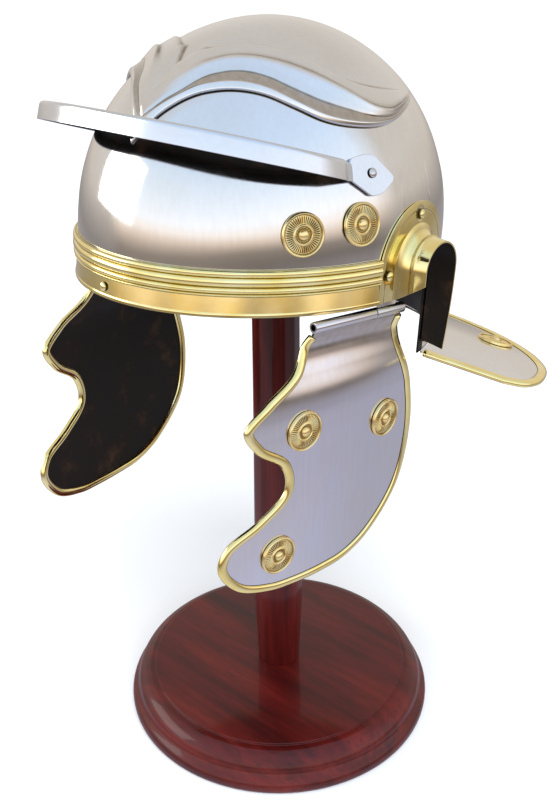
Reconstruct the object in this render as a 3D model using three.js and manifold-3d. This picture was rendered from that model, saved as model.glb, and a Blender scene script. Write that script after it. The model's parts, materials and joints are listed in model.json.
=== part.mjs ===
// A Roman legionary helmet with hinged cheek guards, on its turned wooden stand.
// Millimetres, +Z up. The origin is the centre of the stand's underside, the helmet looks towards -Y,
// and +X is the wearer's left.
import * as THREE from 'three';
import { mergeVertices } from 'three/addons/utils/BufferGeometryUtils.js';
import Module from 'manifold-3d';

const wasm = await Module();
wasm.setup();

const DEGREE = Math.PI / 180;
const HALF_TURN = Math.PI;

// Clearances. Facets on a curved seat come closer together than the faces that they stand for.
const SEAT_GAP = 0.3;
const CURVED_SEAT_GAP = 0.48;
const SLOT_GAP = 0.5;
const PIN_GAP = 0.3;
const KNUCKLE_GAP = 0.6;

// The helmet's place on the stand. Its own axes start at the middle of the bowl's rim.
const RIM_HEIGHT = 358.4;
const RIM_SETBACK = -8;
const TILT = 4.68 * DEGREE;

// Bowl
const BOWL_HALF_WIDTH = 105;
const BOWL_FRONT = 128.8;
const BOWL_BACK = 123.3;
const DOME_RISE = 124.7;
const CROWN_SHIFT = -2.5;
const DOME_RISE_POWER = 2.11;
const DOME_PLAN_POWER = 1.95;
const BOWL_WALL = 1.4;
const NAPE_DROP_SIDE = 43;
const NAPE_DROP_BACK = 49;
const NAPE_FLARE = 9;
const NAPE_FLARE_POWER = 4;

// Brow band, which is as tall as the bowl's upright lower wall
const BAND_HEIGHT = 26.1;
const BAND_RIB = 3.0;

// Eyebrows raised on the bowl, and how deep they are rooted in its wall
const EYEBROW_RELIEF = 4.4;
const EYEBROW_ROOT = 1.0;

// Brow guard
const GUARD_HALF_WIDTH = BOWL_HALF_WIDTH - 1;
const GUARD_REACH = 141;
const GUARD_END = 60;
const GUARD_HEIGHT = 85.5;
const GUARD_SLOPE = 13.4 * DEGREE;
const GUARD_POWER = 2.3;
const GUARD_RIM = 10.5;
const GUARD_SHEET = 1.6;
const TAB_LENGTH = 32;
const TAB_HEIGHT = 20;
const TAB_RIVET_Y = -28.2;
const TAB_RIVET_Z = 73.8;

// Ear guards
const EAR_Y = 14;
const EAR_SPRING_Z = 18;
const EAR_FLANGE_RADIUS = 36.5;
const EAR_ROOT_RADIUS = 22;
const EAR_MOUTH_RADIUS = 16.5;
const EAR_STAND = 17;
const EAR_SHEET = 1.0;
const EAR_MOUTH_FRONT_Z = 10;
const EAR_LEG_DROP = 38;
const EAR_LEG_LEAN = 5;

// Neck guard
const NECK_SHEET = 1.4;
const NECK_HALF_WIDTH = 167;
const NECK_REACH = 175;
const NECK_SLOPE_SIDE = 8.5 * DEGREE;
const NECK_SLOPE_BACK = 17 * DEGREE;
const NECK_TRIM_WIDTH = 6.5;

// Cheek guards
const CHEEK_SHEET = 1.4;
const CHEEK_DROP = 165;
const CHEEK_WIDTH = 154;
const CHEEK_BACK = 27.5;
const CHEEK_INSET = 5.4;
const CHEEK_MIDDLE_Y = -35;
const CHEEK_MIDDLE_DROP = 73.5;
const CHEEK_TOE = 0.098;
const CHEEK_LEAN = 0.0144;
const CHEEK_BOW_RADIUS = 526;
const CHEEK_DRAPE_RADIUS = 1524;
const CHEEK_BLEND = 40;
const CHEEK_TRIM_WIDTH = 5.5;

// Edge trim that wraps the sheets
const TRIM_SHEET = 0.7;
const TRIM_BEAD = 0.3;

// Hinges
const HINGE_DROP = 6.5;
const HINGE_FRONT = new THREE.Vector3(BOWL_HALF_WIDTH - 11, -68.4, -HINGE_DROP);
const HINGE_BACK = new THREE.Vector3(BOWL_HALF_WIDTH - 0.5, 2.7, -HINGE_DROP);
const KNUCKLE_RADIUS = 3.25;
const PIN_RADIUS = 1.3;
const KNUCKLE_SPLIT = 0.67;
const LEAF_SHEET = 1.0;
const LEAF_HEIGHT = 18;
const PIN_SETBACK = 2;

// Rosettes and rivets
const ROSETTE_RADIUS = 12.2;
const ROSETTE_HEIGHT = 3.4;
const RIVET_RADIUS = 2.8;
const RIVET_HEIGHT = 1.8;

// Stand
const BASE_RADIUS = 117;
const BASE_TOP_RADIUS = 97.9;
const BASE_HEIGHT = 30;
const POST_RADIUS = 18.25;
const HEAD_DEPTH = 20;

// How finely the solids are divided
const BOWL_COLUMNS = 52;
const BOWL_ROWS = 9;
const BOWL_INNER_ROWS = 6;
const BAND_STATIONS = 26;
const GUARD_STATIONS = 22;
const NECK_STATIONS = 22;
const CHEEK_ROWS = 16;
const CHEEK_COLUMNS = 6;
const ARCH_STEPS = 12;
const LEG_STEPS = 3;
const ROSETTE_SIDES = 12;
const RIVET_SIDES = 8;
const BASE_SIDES = 28;
const POST_SIDES = 16;
const TUBE_SIDES = 10;

// Finishes: colour, roughness, metalness
const FINISHES = {
  steel: [0xc9cbcd, 0.18, 1],
  brass: [0xd9b24c, 0.22, 1],
  wood: [0x4a1512, 0.28, 0],
};

const object = new THREE.Group();
object.name = 'roman_legionary_helmet_on_stand';
const helmet = new THREE.Group();
helmet.position.set(0, RIM_SETBACK, RIM_HEIGHT);
helmet.rotation.x = -TILT;
object.add(helmet);

function addPiece(group, name, geometry, finish) {
  const [color, roughness, metalness] = FINISHES[finish];
  const mesh = new THREE.Mesh(geometry, new THREE.MeshStandardMaterial({ color, roughness, metalness }));
  mesh.name = name;
  group.add(mesh);
}

function mix(from, to, share) {
  return from + (to - from) * share;
}

function clamp(value, low, high) {
  return Math.min(Math.max(value, low), high);
}

// A row of shares from 0 to 1.
function steps(count) {
  return Array.from({ length: count + 1 }, (_, i) => i / count);
}

// Turns a surface right side out, whichever way its corners were listed.
function faceOut(geometry) {
  const place = geometry.attributes.position;
  const index = geometry.index.array;
  const [a, b, c] = [new THREE.Vector3(), new THREE.Vector3(), new THREE.Vector3()];
  let volume = 0;
  for (let i = 0; i < index.length; i += 3) {
    a.fromBufferAttribute(place, index[i]);
    b.fromBufferAttribute(place, index[i + 1]);
    c.fromBufferAttribute(place, index[i + 2]);
    volume += a.dot(b.cross(c));
  }
  if (volume < 0) {
    for (let i = 0; i < index.length; i += 3) {
      [index[i], index[i + 1]] = [index[i + 1], index[i]];
    }
  }
  geometry.computeVertexNormals();
  return geometry;
}

// A closed solid through rings of equally many points. A ring of one point is a pole. An end ring with
// more runs out along one skin of a sheet and back along the other, and is closed from skin to skin.
function loft(rings) {
  const corners = [];
  const faces = [];
  const starts = [];
  const count = Math.max(...rings.map((ring) => ring.length));
  for (const ring of rings) {
    starts.push(corners.length / 3);
    ring.forEach((corner) => corners.push(corner.x, corner.y, corner.z));
  }
  const at = (ring, i) => starts[ring] + (rings[ring].length === 1 ? 0 : i % count);
  const triangle = (a, b, c) => {
    if (a !== b && b !== c && c !== a) faces.push(a, b, c);
  };
  const quad = (a, b, c, d) => {
    triangle(a, b, c);
    triangle(a, c, d);
  };
  for (let ring = 0; ring + 1 < rings.length; ring += 1) {
    for (let i = 0; i < count; i += 1) {
      quad(at(ring, i), at(ring, i + 1), at(ring + 1, i + 1), at(ring + 1, i));
    }
  }
  const last = rings.length - 1;
  for (let i = 0; i + 1 < count / 2; i += 1) {
    if (rings[0].length > 1) quad(at(0, i + 1), at(0, i), at(0, count - 1 - i), at(0, count - 2 - i));
    if (rings[last].length > 1) {
      quad(at(last, i), at(last, i + 1), at(last, count - 2 - i), at(last, count - 1 - i));
    }
  }
  const geometry = new THREE.BufferGeometry();
  geometry.setAttribute('position', new THREE.Float32BufferAttribute(corners, 3));
  geometry.setIndex(faces);
  return faceOut(geometry);
}

function mirrored(geometry) {
  const copy = geometry.clone();
  copy.scale(-1, 1, 1);
  return faceOut(copy.index ? copy : mergeVertices(copy));
}

function toSolid(geometry) {
  const bare = geometry.clone();
  bare.deleteAttribute('normal');
  bare.deleteAttribute('uv');
  const merged = mergeVertices(bare, 1e-4);
  return new wasm.Manifold(new wasm.Mesh({
    numProp: 3,
    vertProperties: new Float32Array(merged.attributes.position.array),
    triVerts: new Uint32Array(merged.index.array),
  }));
}

function toGeometry(solid) {
  const mesh = solid.getMesh();
  const geometry = new THREE.BufferGeometry();
  geometry.setAttribute('position', new THREE.BufferAttribute(mesh.vertProperties, 3));
  geometry.setIndex(new THREE.BufferAttribute(mesh.triVerts, 1));
  geometry.computeVertexNormals();
  return geometry;
}

function joined(geometries) {
  return toGeometry(geometries.map(toSolid).reduce((whole, next) => whole.add(next)));
}

// A turned piece: rows of radius and height, round +Z.
function turned(profile, sides) {
  const points = profile.map(([radius, height]) => new THREE.Vector2(radius, height));
  return new THREE.LatheGeometry(points, sides).rotateX(HALF_TURN / 2);
}

// Stands a turned piece on a point, with its axis along a direction.
function standOn(geometry, place, direction) {
  const turn = new THREE.Quaternion().setFromUnitVectors(new THREE.Vector3(0, 0, 1), direction);
  return geometry.applyQuaternion(turn).translate(place.x, place.y, place.z);
}

// The bowl's form. Azimuth runs from the front towards +X, height from the rim.
function domeShare(height) {
  return clamp((height - BAND_HEIGHT) / DOME_RISE, 0, 1);
}

function planScale(share) {
  return (1 - share ** DOME_RISE_POWER) ** (1 / DOME_PLAN_POWER);
}

function bowlLength(y, share) {
  return y < CROWN_SHIFT * share ? BOWL_FRONT : BOWL_BACK;
}

// A point on the bowl's outer face, or off it by the offset along the face's own direction.
function onBowl(azimuth, height, offset = 0) {
  const share = domeShare(height);
  const scale = planScale(share);
  const length = Math.cos(azimuth) > 0 ? BOWL_FRONT : BOWL_BACK;
  const sideways = BOWL_HALF_WIDTH * scale * Math.sin(azimuth);
  const along = -length * scale * Math.cos(azimuth);
  const place = new THREE.Vector3(sideways, along + CROWN_SHIFT * share, height);
  const behind = Math.max(-Math.cos(azimuth), 0) ** NAPE_FLARE_POWER;
  const flare = NAPE_FLARE * behind * (Math.min(height, 0) / NAPE_DROP_BACK) ** 2;
  return place.addScaledVector(bowlNormal(sideways, along, share, length), offset + flare);
}

function bowlNormal(sideways, along, share, length) {
  const rest = Math.max(1 - share ** DOME_RISE_POWER, 1e-9);
  const fall = (DOME_RISE_POWER / DOME_PLAN_POWER) * share ** (DOME_RISE_POWER - 1);
  const rise = fall * rest ** (2 / DOME_PLAN_POWER - 1) - (along * CROWN_SHIFT) / length ** 2;
  return new THREE.Vector3(
    sideways / BOWL_HALF_WIDTH ** 2,
    along / length ** 2,
    share > 0 ? rise / DOME_RISE : 0,
  ).normalize();
}

// The azimuth of the point on the +X side of the bowl with this y and height.
function azimuthAt(y, height) {
  const share = domeShare(height);
  const reach = bowlLength(y, share) * planScale(share);
  return Math.acos(clamp(-(y - CROWN_SHIFT * share) / reach, -1, 1));
}

function onBowlSide(y, height, offset = 0) {
  return onBowl(azimuthAt(y, height), height, offset);
}

function bowlNormalAtSide(y, height) {
  return onBowlSide(y, height, 1).sub(onBowlSide(y, height));
}

// How far the bowl's lower edge hangs below the rim. It steps down from brow to nape inside the ear notch.
function napeDrop(azimuth) {
  const y = -BOWL_BACK * Math.cos(azimuth);
  const half = EAR_MOUTH_RADIUS * 0.75;
  const step = clamp((y - EAR_Y + half) / (2 * half), 0, 1);
  const backShare = clamp(y / BOWL_BACK, 0, 1);
  return step * mix(NAPE_DROP_SIDE, NAPE_DROP_BACK, backShare ** 2);
}

function ringOfBowl(heightAt, offset) {
  return steps(BOWL_COLUMNS).slice(0, BOWL_COLUMNS).map((turn) => {
    const azimuth = 2 * HALF_TURN * turn;
    return onBowl(azimuth, heightAt(azimuth), offset);
  });
}

function domeHeight(row, rows) {
  return BAND_HEIGHT + DOME_RISE * Math.sin((HALF_TURN / 2) * (row / rows));
}

function crown(offset) {
  return [new THREE.Vector3(0, CROWN_SHIFT, BAND_HEIGHT + DOME_RISE + offset)];
}

// Rings of the upright wall, as shares of the way up from its lower edge.
const WALL_SHARES = [0, 0.25, 0.6];

function bowlShell() {
  const wallRing = (up, offset) => {
    return ringOfBowl((azimuth) => mix(-napeDrop(azimuth), BAND_HEIGHT, up), offset);
  };
  const rings = [crown(0)];
  for (let row = BOWL_ROWS - 1; row >= 0; row -= 1) {
    rings.push(ringOfBowl(() => domeHeight(row, BOWL_ROWS), 0));
  }
  WALL_SHARES.toReversed().forEach((up) => rings.push(wallRing(up, 0)));
  WALL_SHARES.forEach((up) => rings.push(wallRing(up, -BOWL_WALL)));
  for (let row = 0; row < BOWL_INNER_ROWS; row += 1) {
    rings.push(ringOfBowl(() => domeHeight(row, BOWL_INNER_ROWS), -BOWL_WALL));
  }
  rings.push(crown(-BOWL_WALL));
  return loft(rings);
}

// The ear notch is an arch, cut along X through both sides of the bowl.
function earNotch() {
  const arch = new THREE.Shape();
  const floor = -2 * NAPE_DROP_BACK;
  arch.moveTo(EAR_Y - EAR_MOUTH_RADIUS, floor);
  arch.lineTo(EAR_Y + EAR_MOUTH_RADIUS, floor);
  arch.absarc(EAR_Y, EAR_SPRING_Z, EAR_MOUTH_RADIUS, 0, HALF_TURN, false);
  const notch = new THREE.ExtrudeGeometry(arch, {
    depth: 4 * BOWL_HALF_WIDTH,
    bevelEnabled: false,
    curveSegments: ARCH_STEPS,
  });
  notch.translate(0, 0, -2 * BOWL_HALF_WIDTH);
  const alongX = new THREE.Matrix4().makeBasis(
    new THREE.Vector3(0, 1, 0),
    new THREE.Vector3(0, 0, 1),
    new THREE.Vector3(1, 0, 0),
  );
  return notch.applyMatrix4(alongX);
}

// Eyebrow: the azimuth in degrees, the share of the relief that is left there, and the heights of the
// lower edge, both sides of the groove, the upper ridge's top edge and the plateau's upper edge, as
// shares of the bowl's whole height.
const EYEBROW_ROWS = [
  [0, 0.7, 0.560, 0.650, 0.664, 0.735, 0.812],
  [6, 0.92, 0.646, 0.700, 0.712, 0.801, 0.870],
  [13, 1, 0.712, 0.748, 0.764, 0.840, 0.888],
  [25, 1, 0.753, 0.786, 0.815, 0.866, 0.898],
  [35, 1, 0.759, 0.791, 0.825, 0.873, 0.903],
  [46, 1, 0.741, 0.770, 0.806, 0.866, 0.898],
  [58, 1, 0.693, 0.722, 0.759, 0.841, 0.874],
  [69, 1, 0.653, 0.682, 0.718, 0.800, 0.834],
  [80, 1, 0.638, 0.661, 0.686, 0.742, 0.792],
  [92, 0.92, 0.651, 0.663, 0.676, 0.703, 0.765],
  [105, 0.68, 0.686, 0.694, 0.702, 0.715, 0.750],
  [120, 0.3, 0.716, 0.720, 0.725, 0.731, 0.742],
];

// Across an eyebrow: between which two of its lines, how far along, and the relief as a share.
const EYEBROW_SECTION = [
  [0, 0, -0.25],
  [0, 0.12, 0.6],
  [0, 0.5, 0.8],
  [1, 0, 0.45],
  [2, 0, 0.75],
  [2, 0.5, 1],
  [3, 0, 0.5],
  [3, 0.5, 0.9],
  [4, 0, -0.25],
];

// A clearance swells the eyebrow outwards and spreads its steep lower and upper edges.
function eyebrow(clearance = 0) {
  const wholeHeight = BAND_HEIGHT + DOME_RISE;
  const rings = EYEBROW_ROWS.map(([degrees, strength, ...lines]) => {
    const azimuth = degrees * DEGREE;
    const heights = EYEBROW_SECTION.map(([line, along], i) => {
      const spread = mix(-clearance, clearance, i / (EYEBROW_SECTION.length - 1));
      return wholeHeight * mix(lines[line], lines[Math.min(line + 1, 4)], along) + spread;
    });
    const over = heights.map((height, i) => {
      return onBowl(azimuth, height, clearance + EYEBROW_RELIEF * EYEBROW_SECTION[i][2] * strength);
    });
    const under = heights.map((height) => onBowl(azimuth, height, -EYEBROW_ROOT));
    return [...over, ...under.reverse()];
  });
  return loft(rings);
}

// The bowl's outer form above the rim with its eyebrows, filled, for what is cut to fit against it.
function bowlForm(clearance) {
  const rings = [crown(clearance)];
  for (let row = BOWL_ROWS - 1; row >= 0; row -= 1) {
    rings.push(ringOfBowl(() => domeHeight(row, BOWL_ROWS), clearance));
  }
  rings.push(ringOfBowl(() => 0, clearance), [new THREE.Vector3()]);
  const brow = eyebrow(clearance);
  return toSolid(loft(rings)).add(toSolid(brow)).add(toSolid(mirrored(brow)));
}

function bowl() {
  const brow = eyebrow();
  const cut = toSolid(bowlShell()).subtract(toSolid(earNotch()));
  return toGeometry(cut.add(toSolid(brow)).add(toSolid(mirrored(brow))));
}

// Brow band: the height as a share of the band's, and how proud it stands as a share of its rib.
const BAND_SECTION = [
  [0, 0.65],
  [0.07, 0.5],
  [0.42, 0.5],
  [0.52, 0.97],
  [0.64, 0.55],
  [0.75, 1],
  [0.86, 0.55],
  [0.94, 0.9],
  [1, 0.42],
];

const BAND_END_Y = EAR_Y - EAR_FLANGE_RADIUS - SEAT_GAP;

function browBand() {
  const end = azimuthAt(BAND_END_Y, 0);
  return loft(steps(BAND_STATIONS).map((share) => {
    const azimuth = mix(-end, end, share);
    const outer = BAND_SECTION.map(([up, proud]) => {
      return onBowl(azimuth, up * BAND_HEIGHT, CURVED_SEAT_GAP + proud * BAND_RIB);
    });
    const inner = BAND_SECTION.map(([up]) => onBowl(azimuth, up * BAND_HEIGHT, CURVED_SEAT_GAP));
    return [...outer, ...inner.reverse()];
  }));
}

// Brow guard: a rising peak with a turned-down rim, riveted to the bowl by a tab at each end.
function guardPlane(y) {
  return GUARD_HEIGHT + Math.tan(GUARD_SLOPE) * (-GUARD_END - y);
}

// The point inside the bowl's wall that the guard's plate runs to, before it is cut along the bowl.
function guardSeat(azimuth) {
  let height = GUARD_HEIGHT;
  for (let pass = 0; pass < 8; pass += 1) {
    height = guardPlane(onBowl(azimuth, height).y);
  }
  return onBowl(azimuth, height, -BOWL_WALL);
}

function guardStation(rimX, rimY) {
  const top = new THREE.Vector3(rimX, rimY, guardPlane(rimY));
  const seat = guardSeat(Math.atan2(rimX, -rimY));
  const outward = new THREE.Vector3(top.x - seat.x, top.y - seat.y, 0).normalize();
  const inset = top.clone().addScaledVector(outward, -GUARD_SHEET);
  const down = (place, depth) => place.clone().add(new THREE.Vector3(0, 0, -depth));
  return [
    seat,
    top,
    down(top, GUARD_RIM),
    down(inset, GUARD_RIM),
    down(inset, GUARD_SHEET),
    down(seat, GUARD_SHEET),
  ];
}

// The tab's outline, as shares of its length and height about its rivet.
const TAB_OUTLINE = [
  [-0.5, -0.12],
  [-0.42, 0.42],
  [-0.1, 0.5],
  [0.12, 0.46],
  [0.5, -0.14],
  [0.46, -0.28],
  [0.16, -0.56],
  [-0.08, -0.6],
];

// The flat-sided tab bridges the bowl's curve.
const TAB_LIFT = 2 * SEAT_GAP;

function guardTab() {
  const rim = (offset) => TAB_OUTLINE.map(([along, up]) => {
    const y = TAB_RIVET_Y + along * TAB_LENGTH;
    return onBowlSide(y, TAB_RIVET_Z + up * TAB_HEIGHT, offset);
  });
  const heart = (offset) => [onBowlSide(TAB_RIVET_Y, TAB_RIVET_Z, offset)];
  const [under, over] = [TAB_LIFT, TAB_LIFT + GUARD_SHEET];
  return loft([heart(under), rim(under), rim(over), heart(over)]);
}

function browGuard() {
  const ends = onBowlSide(TAB_RIVET_Y - 0.4 * TAB_LENGTH, TAB_RIVET_Z, TAB_LIFT + GUARD_SHEET);
  const stations = [guardStation(ends.x, ends.y)];
  for (const share of steps(GUARD_STATIONS)) {
    const turn = HALF_TURN * share;
    const across = Math.sign(Math.cos(turn)) * Math.abs(Math.cos(turn)) ** (2 / GUARD_POWER);
    const forward = Math.sin(turn) ** (2 / GUARD_POWER);
    stations.push(guardStation(GUARD_HALF_WIDTH * across, -mix(GUARD_END, GUARD_REACH, forward)));
  }
  stations.push(guardStation(-ends.x, ends.y));
  const peak = toSolid(loft(stations)).subtract(bowlForm(2 * SEAT_GAP));
  const tab = guardTab();
  return toGeometry(peak.add(toSolid(tab)).add(toSolid(mirrored(tab))));
}

const EAR_RIVET_RADIUS = (EAR_FLANGE_RADIUS + EAR_ROOT_RADIUS) / 2;

// Ear guard: a flange on the bowl and a flared hood over the ear, with a long leg behind the ear.
// Across it: the radius of its arch, how far out it stands from bowl to mouth, and where each leg ends.
function earSection(inside) {
  const sheet = inside ? EAR_SHEET : 0;
  const crease = mix(EAR_ROOT_RADIUS, EAR_MOUTH_RADIUS, 0.55);
  return [
    [EAR_FLANGE_RADIUS, 0, 0, 0.8],
    [EAR_RIVET_RADIUS, 0, 0, 0.8],
    [EAR_ROOT_RADIUS - sheet, 0, 0, 1],
    [crease - sheet, 0.45, 0.45, 0.97],
    [EAR_MOUTH_RADIUS - sheet, 1, 1, 0.9],
  ];
}

function earPoint(row, station, inside) {
  const [radius, out, lift, legShare] = row;
  const spring = 1 + ARCH_STEPS;
  let y = EAR_Y + radius;
  let z = EAR_SPRING_Z;
  if (station === 0) {
    y = EAR_Y - radius;
    z = EAR_MOUTH_FRONT_Z * lift;
  } else if (station <= spring) {
    const turn = HALF_TURN * ((station - 1) / ARCH_STEPS);
    y = EAR_Y - radius * Math.cos(turn);
    z = EAR_SPRING_Z + radius * Math.sin(turn);
  } else {
    const down = (station - spring) / LEG_STEPS;
    z = mix(EAR_SPRING_Z, -EAR_LEG_DROP * legShare, down);
    y -= EAR_LEG_LEAN * out * down ** 2;
  }
  const place = onBowlSide(y, z, CURVED_SEAT_GAP + (inside ? 0 : EAR_SHEET));
  place.x = mix(place.x, BOWL_HALF_WIDTH + EAR_STAND, out);
  return out > 0 ? new THREE.Vector3(place.x, y, z) : place;
}

function earGuard() {
  const stations = Array.from({ length: ARCH_STEPS + LEG_STEPS + 2 }, (_, i) => i);
  return loft(stations.map((station) => {
    const outer = earSection(false).map((row) => earPoint(row, station, false));
    const inner = earSection(true).map((row) => earPoint(row, station, true));
    return [...outer, ...inner.reverse()];
  }));
}

// Neck guard: a sheet that slopes down and out from the nape. Its outline runs from the front corner to
// the back, as shares of its half width and its reach.
const NECK_OUTLINE = [
  [0.93, 0.275],
  [0.985, 0.325],
  [1, 0.4],
  [0.985, 0.48],
  [0.93, 0.6],
  [0.8, 0.735],
  [0.62, 0.845],
  [0.4, 0.93],
  [0.2, 0.98],
  [0, 1],
];

function neckHeight(x, y) {
  const reach = Math.hypot(x, y);
  const share = Math.hypot(x / BOWL_HALF_WIDTH, y / BOWL_BACK);
  const distance = reach * (1 - 1 / share);
  const azimuth = Math.acos(clamp(-y / BOWL_BACK / share, -1, 1));
  const backShare = clamp(y / reach, 0, 1) ** 2;
  const slope = Math.tan(mix(NECK_SLOPE_SIDE, NECK_SLOPE_BACK, backShare));
  return -napeDrop(azimuth) - distance * slope;
}

function onNeck(x, y, offset = 0) {
  const step = 0.5;
  const across = (neckHeight(x + step, y) - neckHeight(x - step, y)) / (2 * step);
  const along = (neckHeight(x, y + step) - neckHeight(x, y - step)) / (2 * step);
  const normal = new THREE.Vector3(-across, -along, 1).normalize();
  return { place: new THREE.Vector3(x, y, neckHeight(x, y)).addScaledVector(normal, offset), normal };
}

function smooth(points) {
  return new THREE.CatmullRomCurve3(points, false, 'centripetal');
}

function neckOutline() {
  const half = NECK_OUTLINE.map(([x, y]) => new THREE.Vector3(x * NECK_HALF_WIDTH, y * NECK_REACH, 0));
  const otherHalf = half.slice(0, -1).reverse().map((place) => new THREE.Vector3(-place.x, place.y, 0));
  return smooth([...half, ...otherHalf]).getSpacedPoints(NECK_STATIONS);
}

const NECK_FRONT_Y = EAR_Y + EAR_MOUTH_RADIUS + SEAT_GAP;

// Where the sheet meets the nape, from one side of the front round the back to the other.
function neckRoot(share) {
  const front = azimuthAt(NECK_FRONT_Y + sheetInset(NECK_SHEET), 0);
  const azimuth = mix(front, 2 * HALF_TURN - front, share);
  return onBowl(azimuth, -napeDrop(azimuth), CURVED_SEAT_GAP);
}

// A ring that follows an edge: the profile's rows are the distance in from the edge and the lift off the
// sheet's middle.
function edgeRing(place, tangent, normal, side, profile) {
  const inward = new THREE.Vector3().crossVectors(normal, tangent).normalize().multiplyScalar(side);
  return profile.map(([inset, lift]) => {
    return place.clone().addScaledVector(inward, inset).addScaledVector(normal, lift);
  });
}

function edgeTangent(path, i) {
  return path[Math.min(i + 1, path.length - 1)].clone().sub(path[Math.max(i - 1, 0)]).normalize();
}

// A folded strip round the edge of a sheet.
function trimProfile(width, sheet) {
  const slot = sheet / 2 + SLOT_GAP;
  const skin = slot + TRIM_SHEET;
  const bead = skin + TRIM_BEAD;
  const floor = TRIM_SHEET * 1.9;
  return [
    [width, skin],
    [bead * 0.6, bead],
    [0, 0],
    [bead * 0.6, -bead],
    [width, -skin],
    [width, -slot],
    [floor + slot * 0.6, -slot],
    [floor, 0],
    [floor + slot * 0.6, slot],
    [width, slot],
  ];
}

// How far in from the trim's edge the sheet ends.
function sheetInset(sheet) {
  return TRIM_SHEET * 1.9 + (sheet / 2 + SLOT_GAP) * 0.6 + 2 * SLOT_GAP;
}

function neckPath() {
  const edge = neckOutline();
  const start = onBowlSide(NECK_FRONT_Y, -NAPE_DROP_SIDE, NECK_TRIM_WIDTH / 2);
  const finish = new THREE.Vector3(-start.x, start.y, 0);
  const sideSteps = [0, 0.33, 0.66];
  const front = sideSteps.map((share) => start.clone().lerp(edge[0], share));
  const other = sideSteps.map((share) => finish.clone().lerp(edge[edge.length - 1], share)).reverse();
  return [...front, ...edge, ...other].map(({ x, y }) => onNeck(x, y).place);
}

function neckTrim() {
  const path = neckPath();
  const profile = trimProfile(NECK_TRIM_WIDTH, NECK_SHEET);
  return loft(path.map((place, i) => {
    return edgeRing(place, edgeTangent(path, i), onNeck(place.x, place.y).normal, 1, profile);
  }));
}

function neckGuard() {
  const path = neckPath();
  const inset = sheetInset(NECK_SHEET);
  const edge = path.map((place, i) => {
    const { normal } = onNeck(place.x, place.y);
    return edgeRing(place, edgeTangent(path, i), normal, 1, [[inset, 0]])[0];
  });
  const stations = edge.slice(3, -3);
  const shares = [0, 0.5, 1];
  return loft(stations.map((outer, i) => {
    const root = neckRoot(i / (stations.length - 1));
    const skin = (offset) => shares.map((share) => {
      return onNeck(mix(root.x, outer.x, share), mix(root.y, outer.y, share), offset).place;
    });
    return [...skin(NECK_SHEET / 2), ...skin(-NECK_SHEET / 2).reverse()];
  }));
}

// Cheek guards, drawn for the +X side. Rows of the front and back edges: how far forward, as a share of
// the width, and how far down, as a share of the drop.
const CHEEK_FRONT_EDGE = [
  [0.655, 0.03],
  [0.685, 0.142],
  [0.828, 0.227],
  [0.925, 0.312],
  [0.867, 0.403],
  [0.744, 0.488],
  [0.721, 0.585],
  [0.828, 0.673],
  [0.968, 0.748],
  [0.997, 0.833],
  [0.906, 0.942],
  [0.756, 0.991],
  [0.64, 1],
];
const CHEEK_BACK_EDGE = [
  [0.153, 0.03],
  [0.127, 0.142],
  [0.055, 0.3],
  [0.003, 0.518],
  [0.042, 0.748],
  [0.205, 0.918],
  [0.347, 0.982],
  [0.484, 0.998],
];
const HINGE_DIRECTION = HINGE_BACK.clone().sub(HINGE_FRONT).normalize();
const HINGE_LENGTH = HINGE_BACK.distanceTo(HINGE_FRONT);

function hingeX(y) {
  return mix(HINGE_FRONT.x, HINGE_BACK.x, (y - HINGE_FRONT.y) / (HINGE_BACK.y - HINGE_FRONT.y));
}

function cheekX(y, z) {
  const along = y - CHEEK_MIDDLE_Y;
  const up = z - HINGE_FRONT.z + CHEEK_MIDDLE_DROP;
  const bow = along ** 2 / (2 * CHEEK_BOW_RADIUS) + up ** 2 / (2 * CHEEK_DRAPE_RADIUS);
  const free = BOWL_HALF_WIDTH - CHEEK_INSET + CHEEK_TOE * along + CHEEK_LEAN * up - bow;
  const blend = clamp((HINGE_FRONT.z - z) / CHEEK_BLEND, 0, 1);
  return mix(hingeX(y), free, blend);
}

function onCheek(y, z, offset = 0) {
  const step = 0.5;
  const along = (cheekX(y + step, z) - cheekX(y - step, z)) / (2 * step);
  const up = (cheekX(y, z + step) - cheekX(y, z - step)) / (2 * step);
  const normal = new THREE.Vector3(1, -along, -up).normalize();
  return { place: new THREE.Vector3(cheekX(y, z), y, z).addScaledVector(normal, offset), normal };
}

function cheekEdge(rows) {
  const points = rows.map(([forward, down]) => {
    return new THREE.Vector3(0, CHEEK_BACK - forward * CHEEK_WIDTH, HINGE_FRONT.z - down * CHEEK_DROP);
  });
  const curve = smooth(points);
  return steps(CHEEK_ROWS - 1).map((share) => curve.getPoint(share));
}

function cheekPath() {
  const flat = [...cheekEdge(CHEEK_FRONT_EDGE), ...cheekEdge(CHEEK_BACK_EDGE).reverse()];
  return flat.map(({ y, z }) => onCheek(y, z).place);
}

function cheekTrim() {
  const path = cheekPath();
  const profile = trimProfile(CHEEK_TRIM_WIDTH, CHEEK_SHEET);
  return loft(path.map((place, i) => {
    return edgeRing(place, edgeTangent(path, i), onCheek(place.y, place.z).normal, 1, profile);
  }));
}

// A sheet on the cheek guard's curved face between two edges, each a list of y and z.
function cheekSheet(front, back, columns) {
  return loft(front.map((from, row) => {
    const skin = (offset) => steps(columns).map((share) => {
      return onCheek(mix(from.y, back[row].y, share), mix(from.z, back[row].z, share), offset).place;
    });
    return [...skin(CHEEK_SHEET / 2), ...skin(-CHEEK_SHEET / 2).reverse()];
  }));
}

function knuckle(from, to) {
  const bore = PIN_RADIUS + PIN_GAP;
  const length = (to - from) * HINGE_LENGTH;
  const profile = [[bore, 0], [KNUCKLE_RADIUS, 0], [KNUCKLE_RADIUS, length], [bore, length], [bore, 0]];
  const start = HINGE_FRONT.clone().lerp(HINGE_BACK, from);
  return standOn(turned(profile, TUBE_SIDES), start, HINGE_DIRECTION);
}

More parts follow.
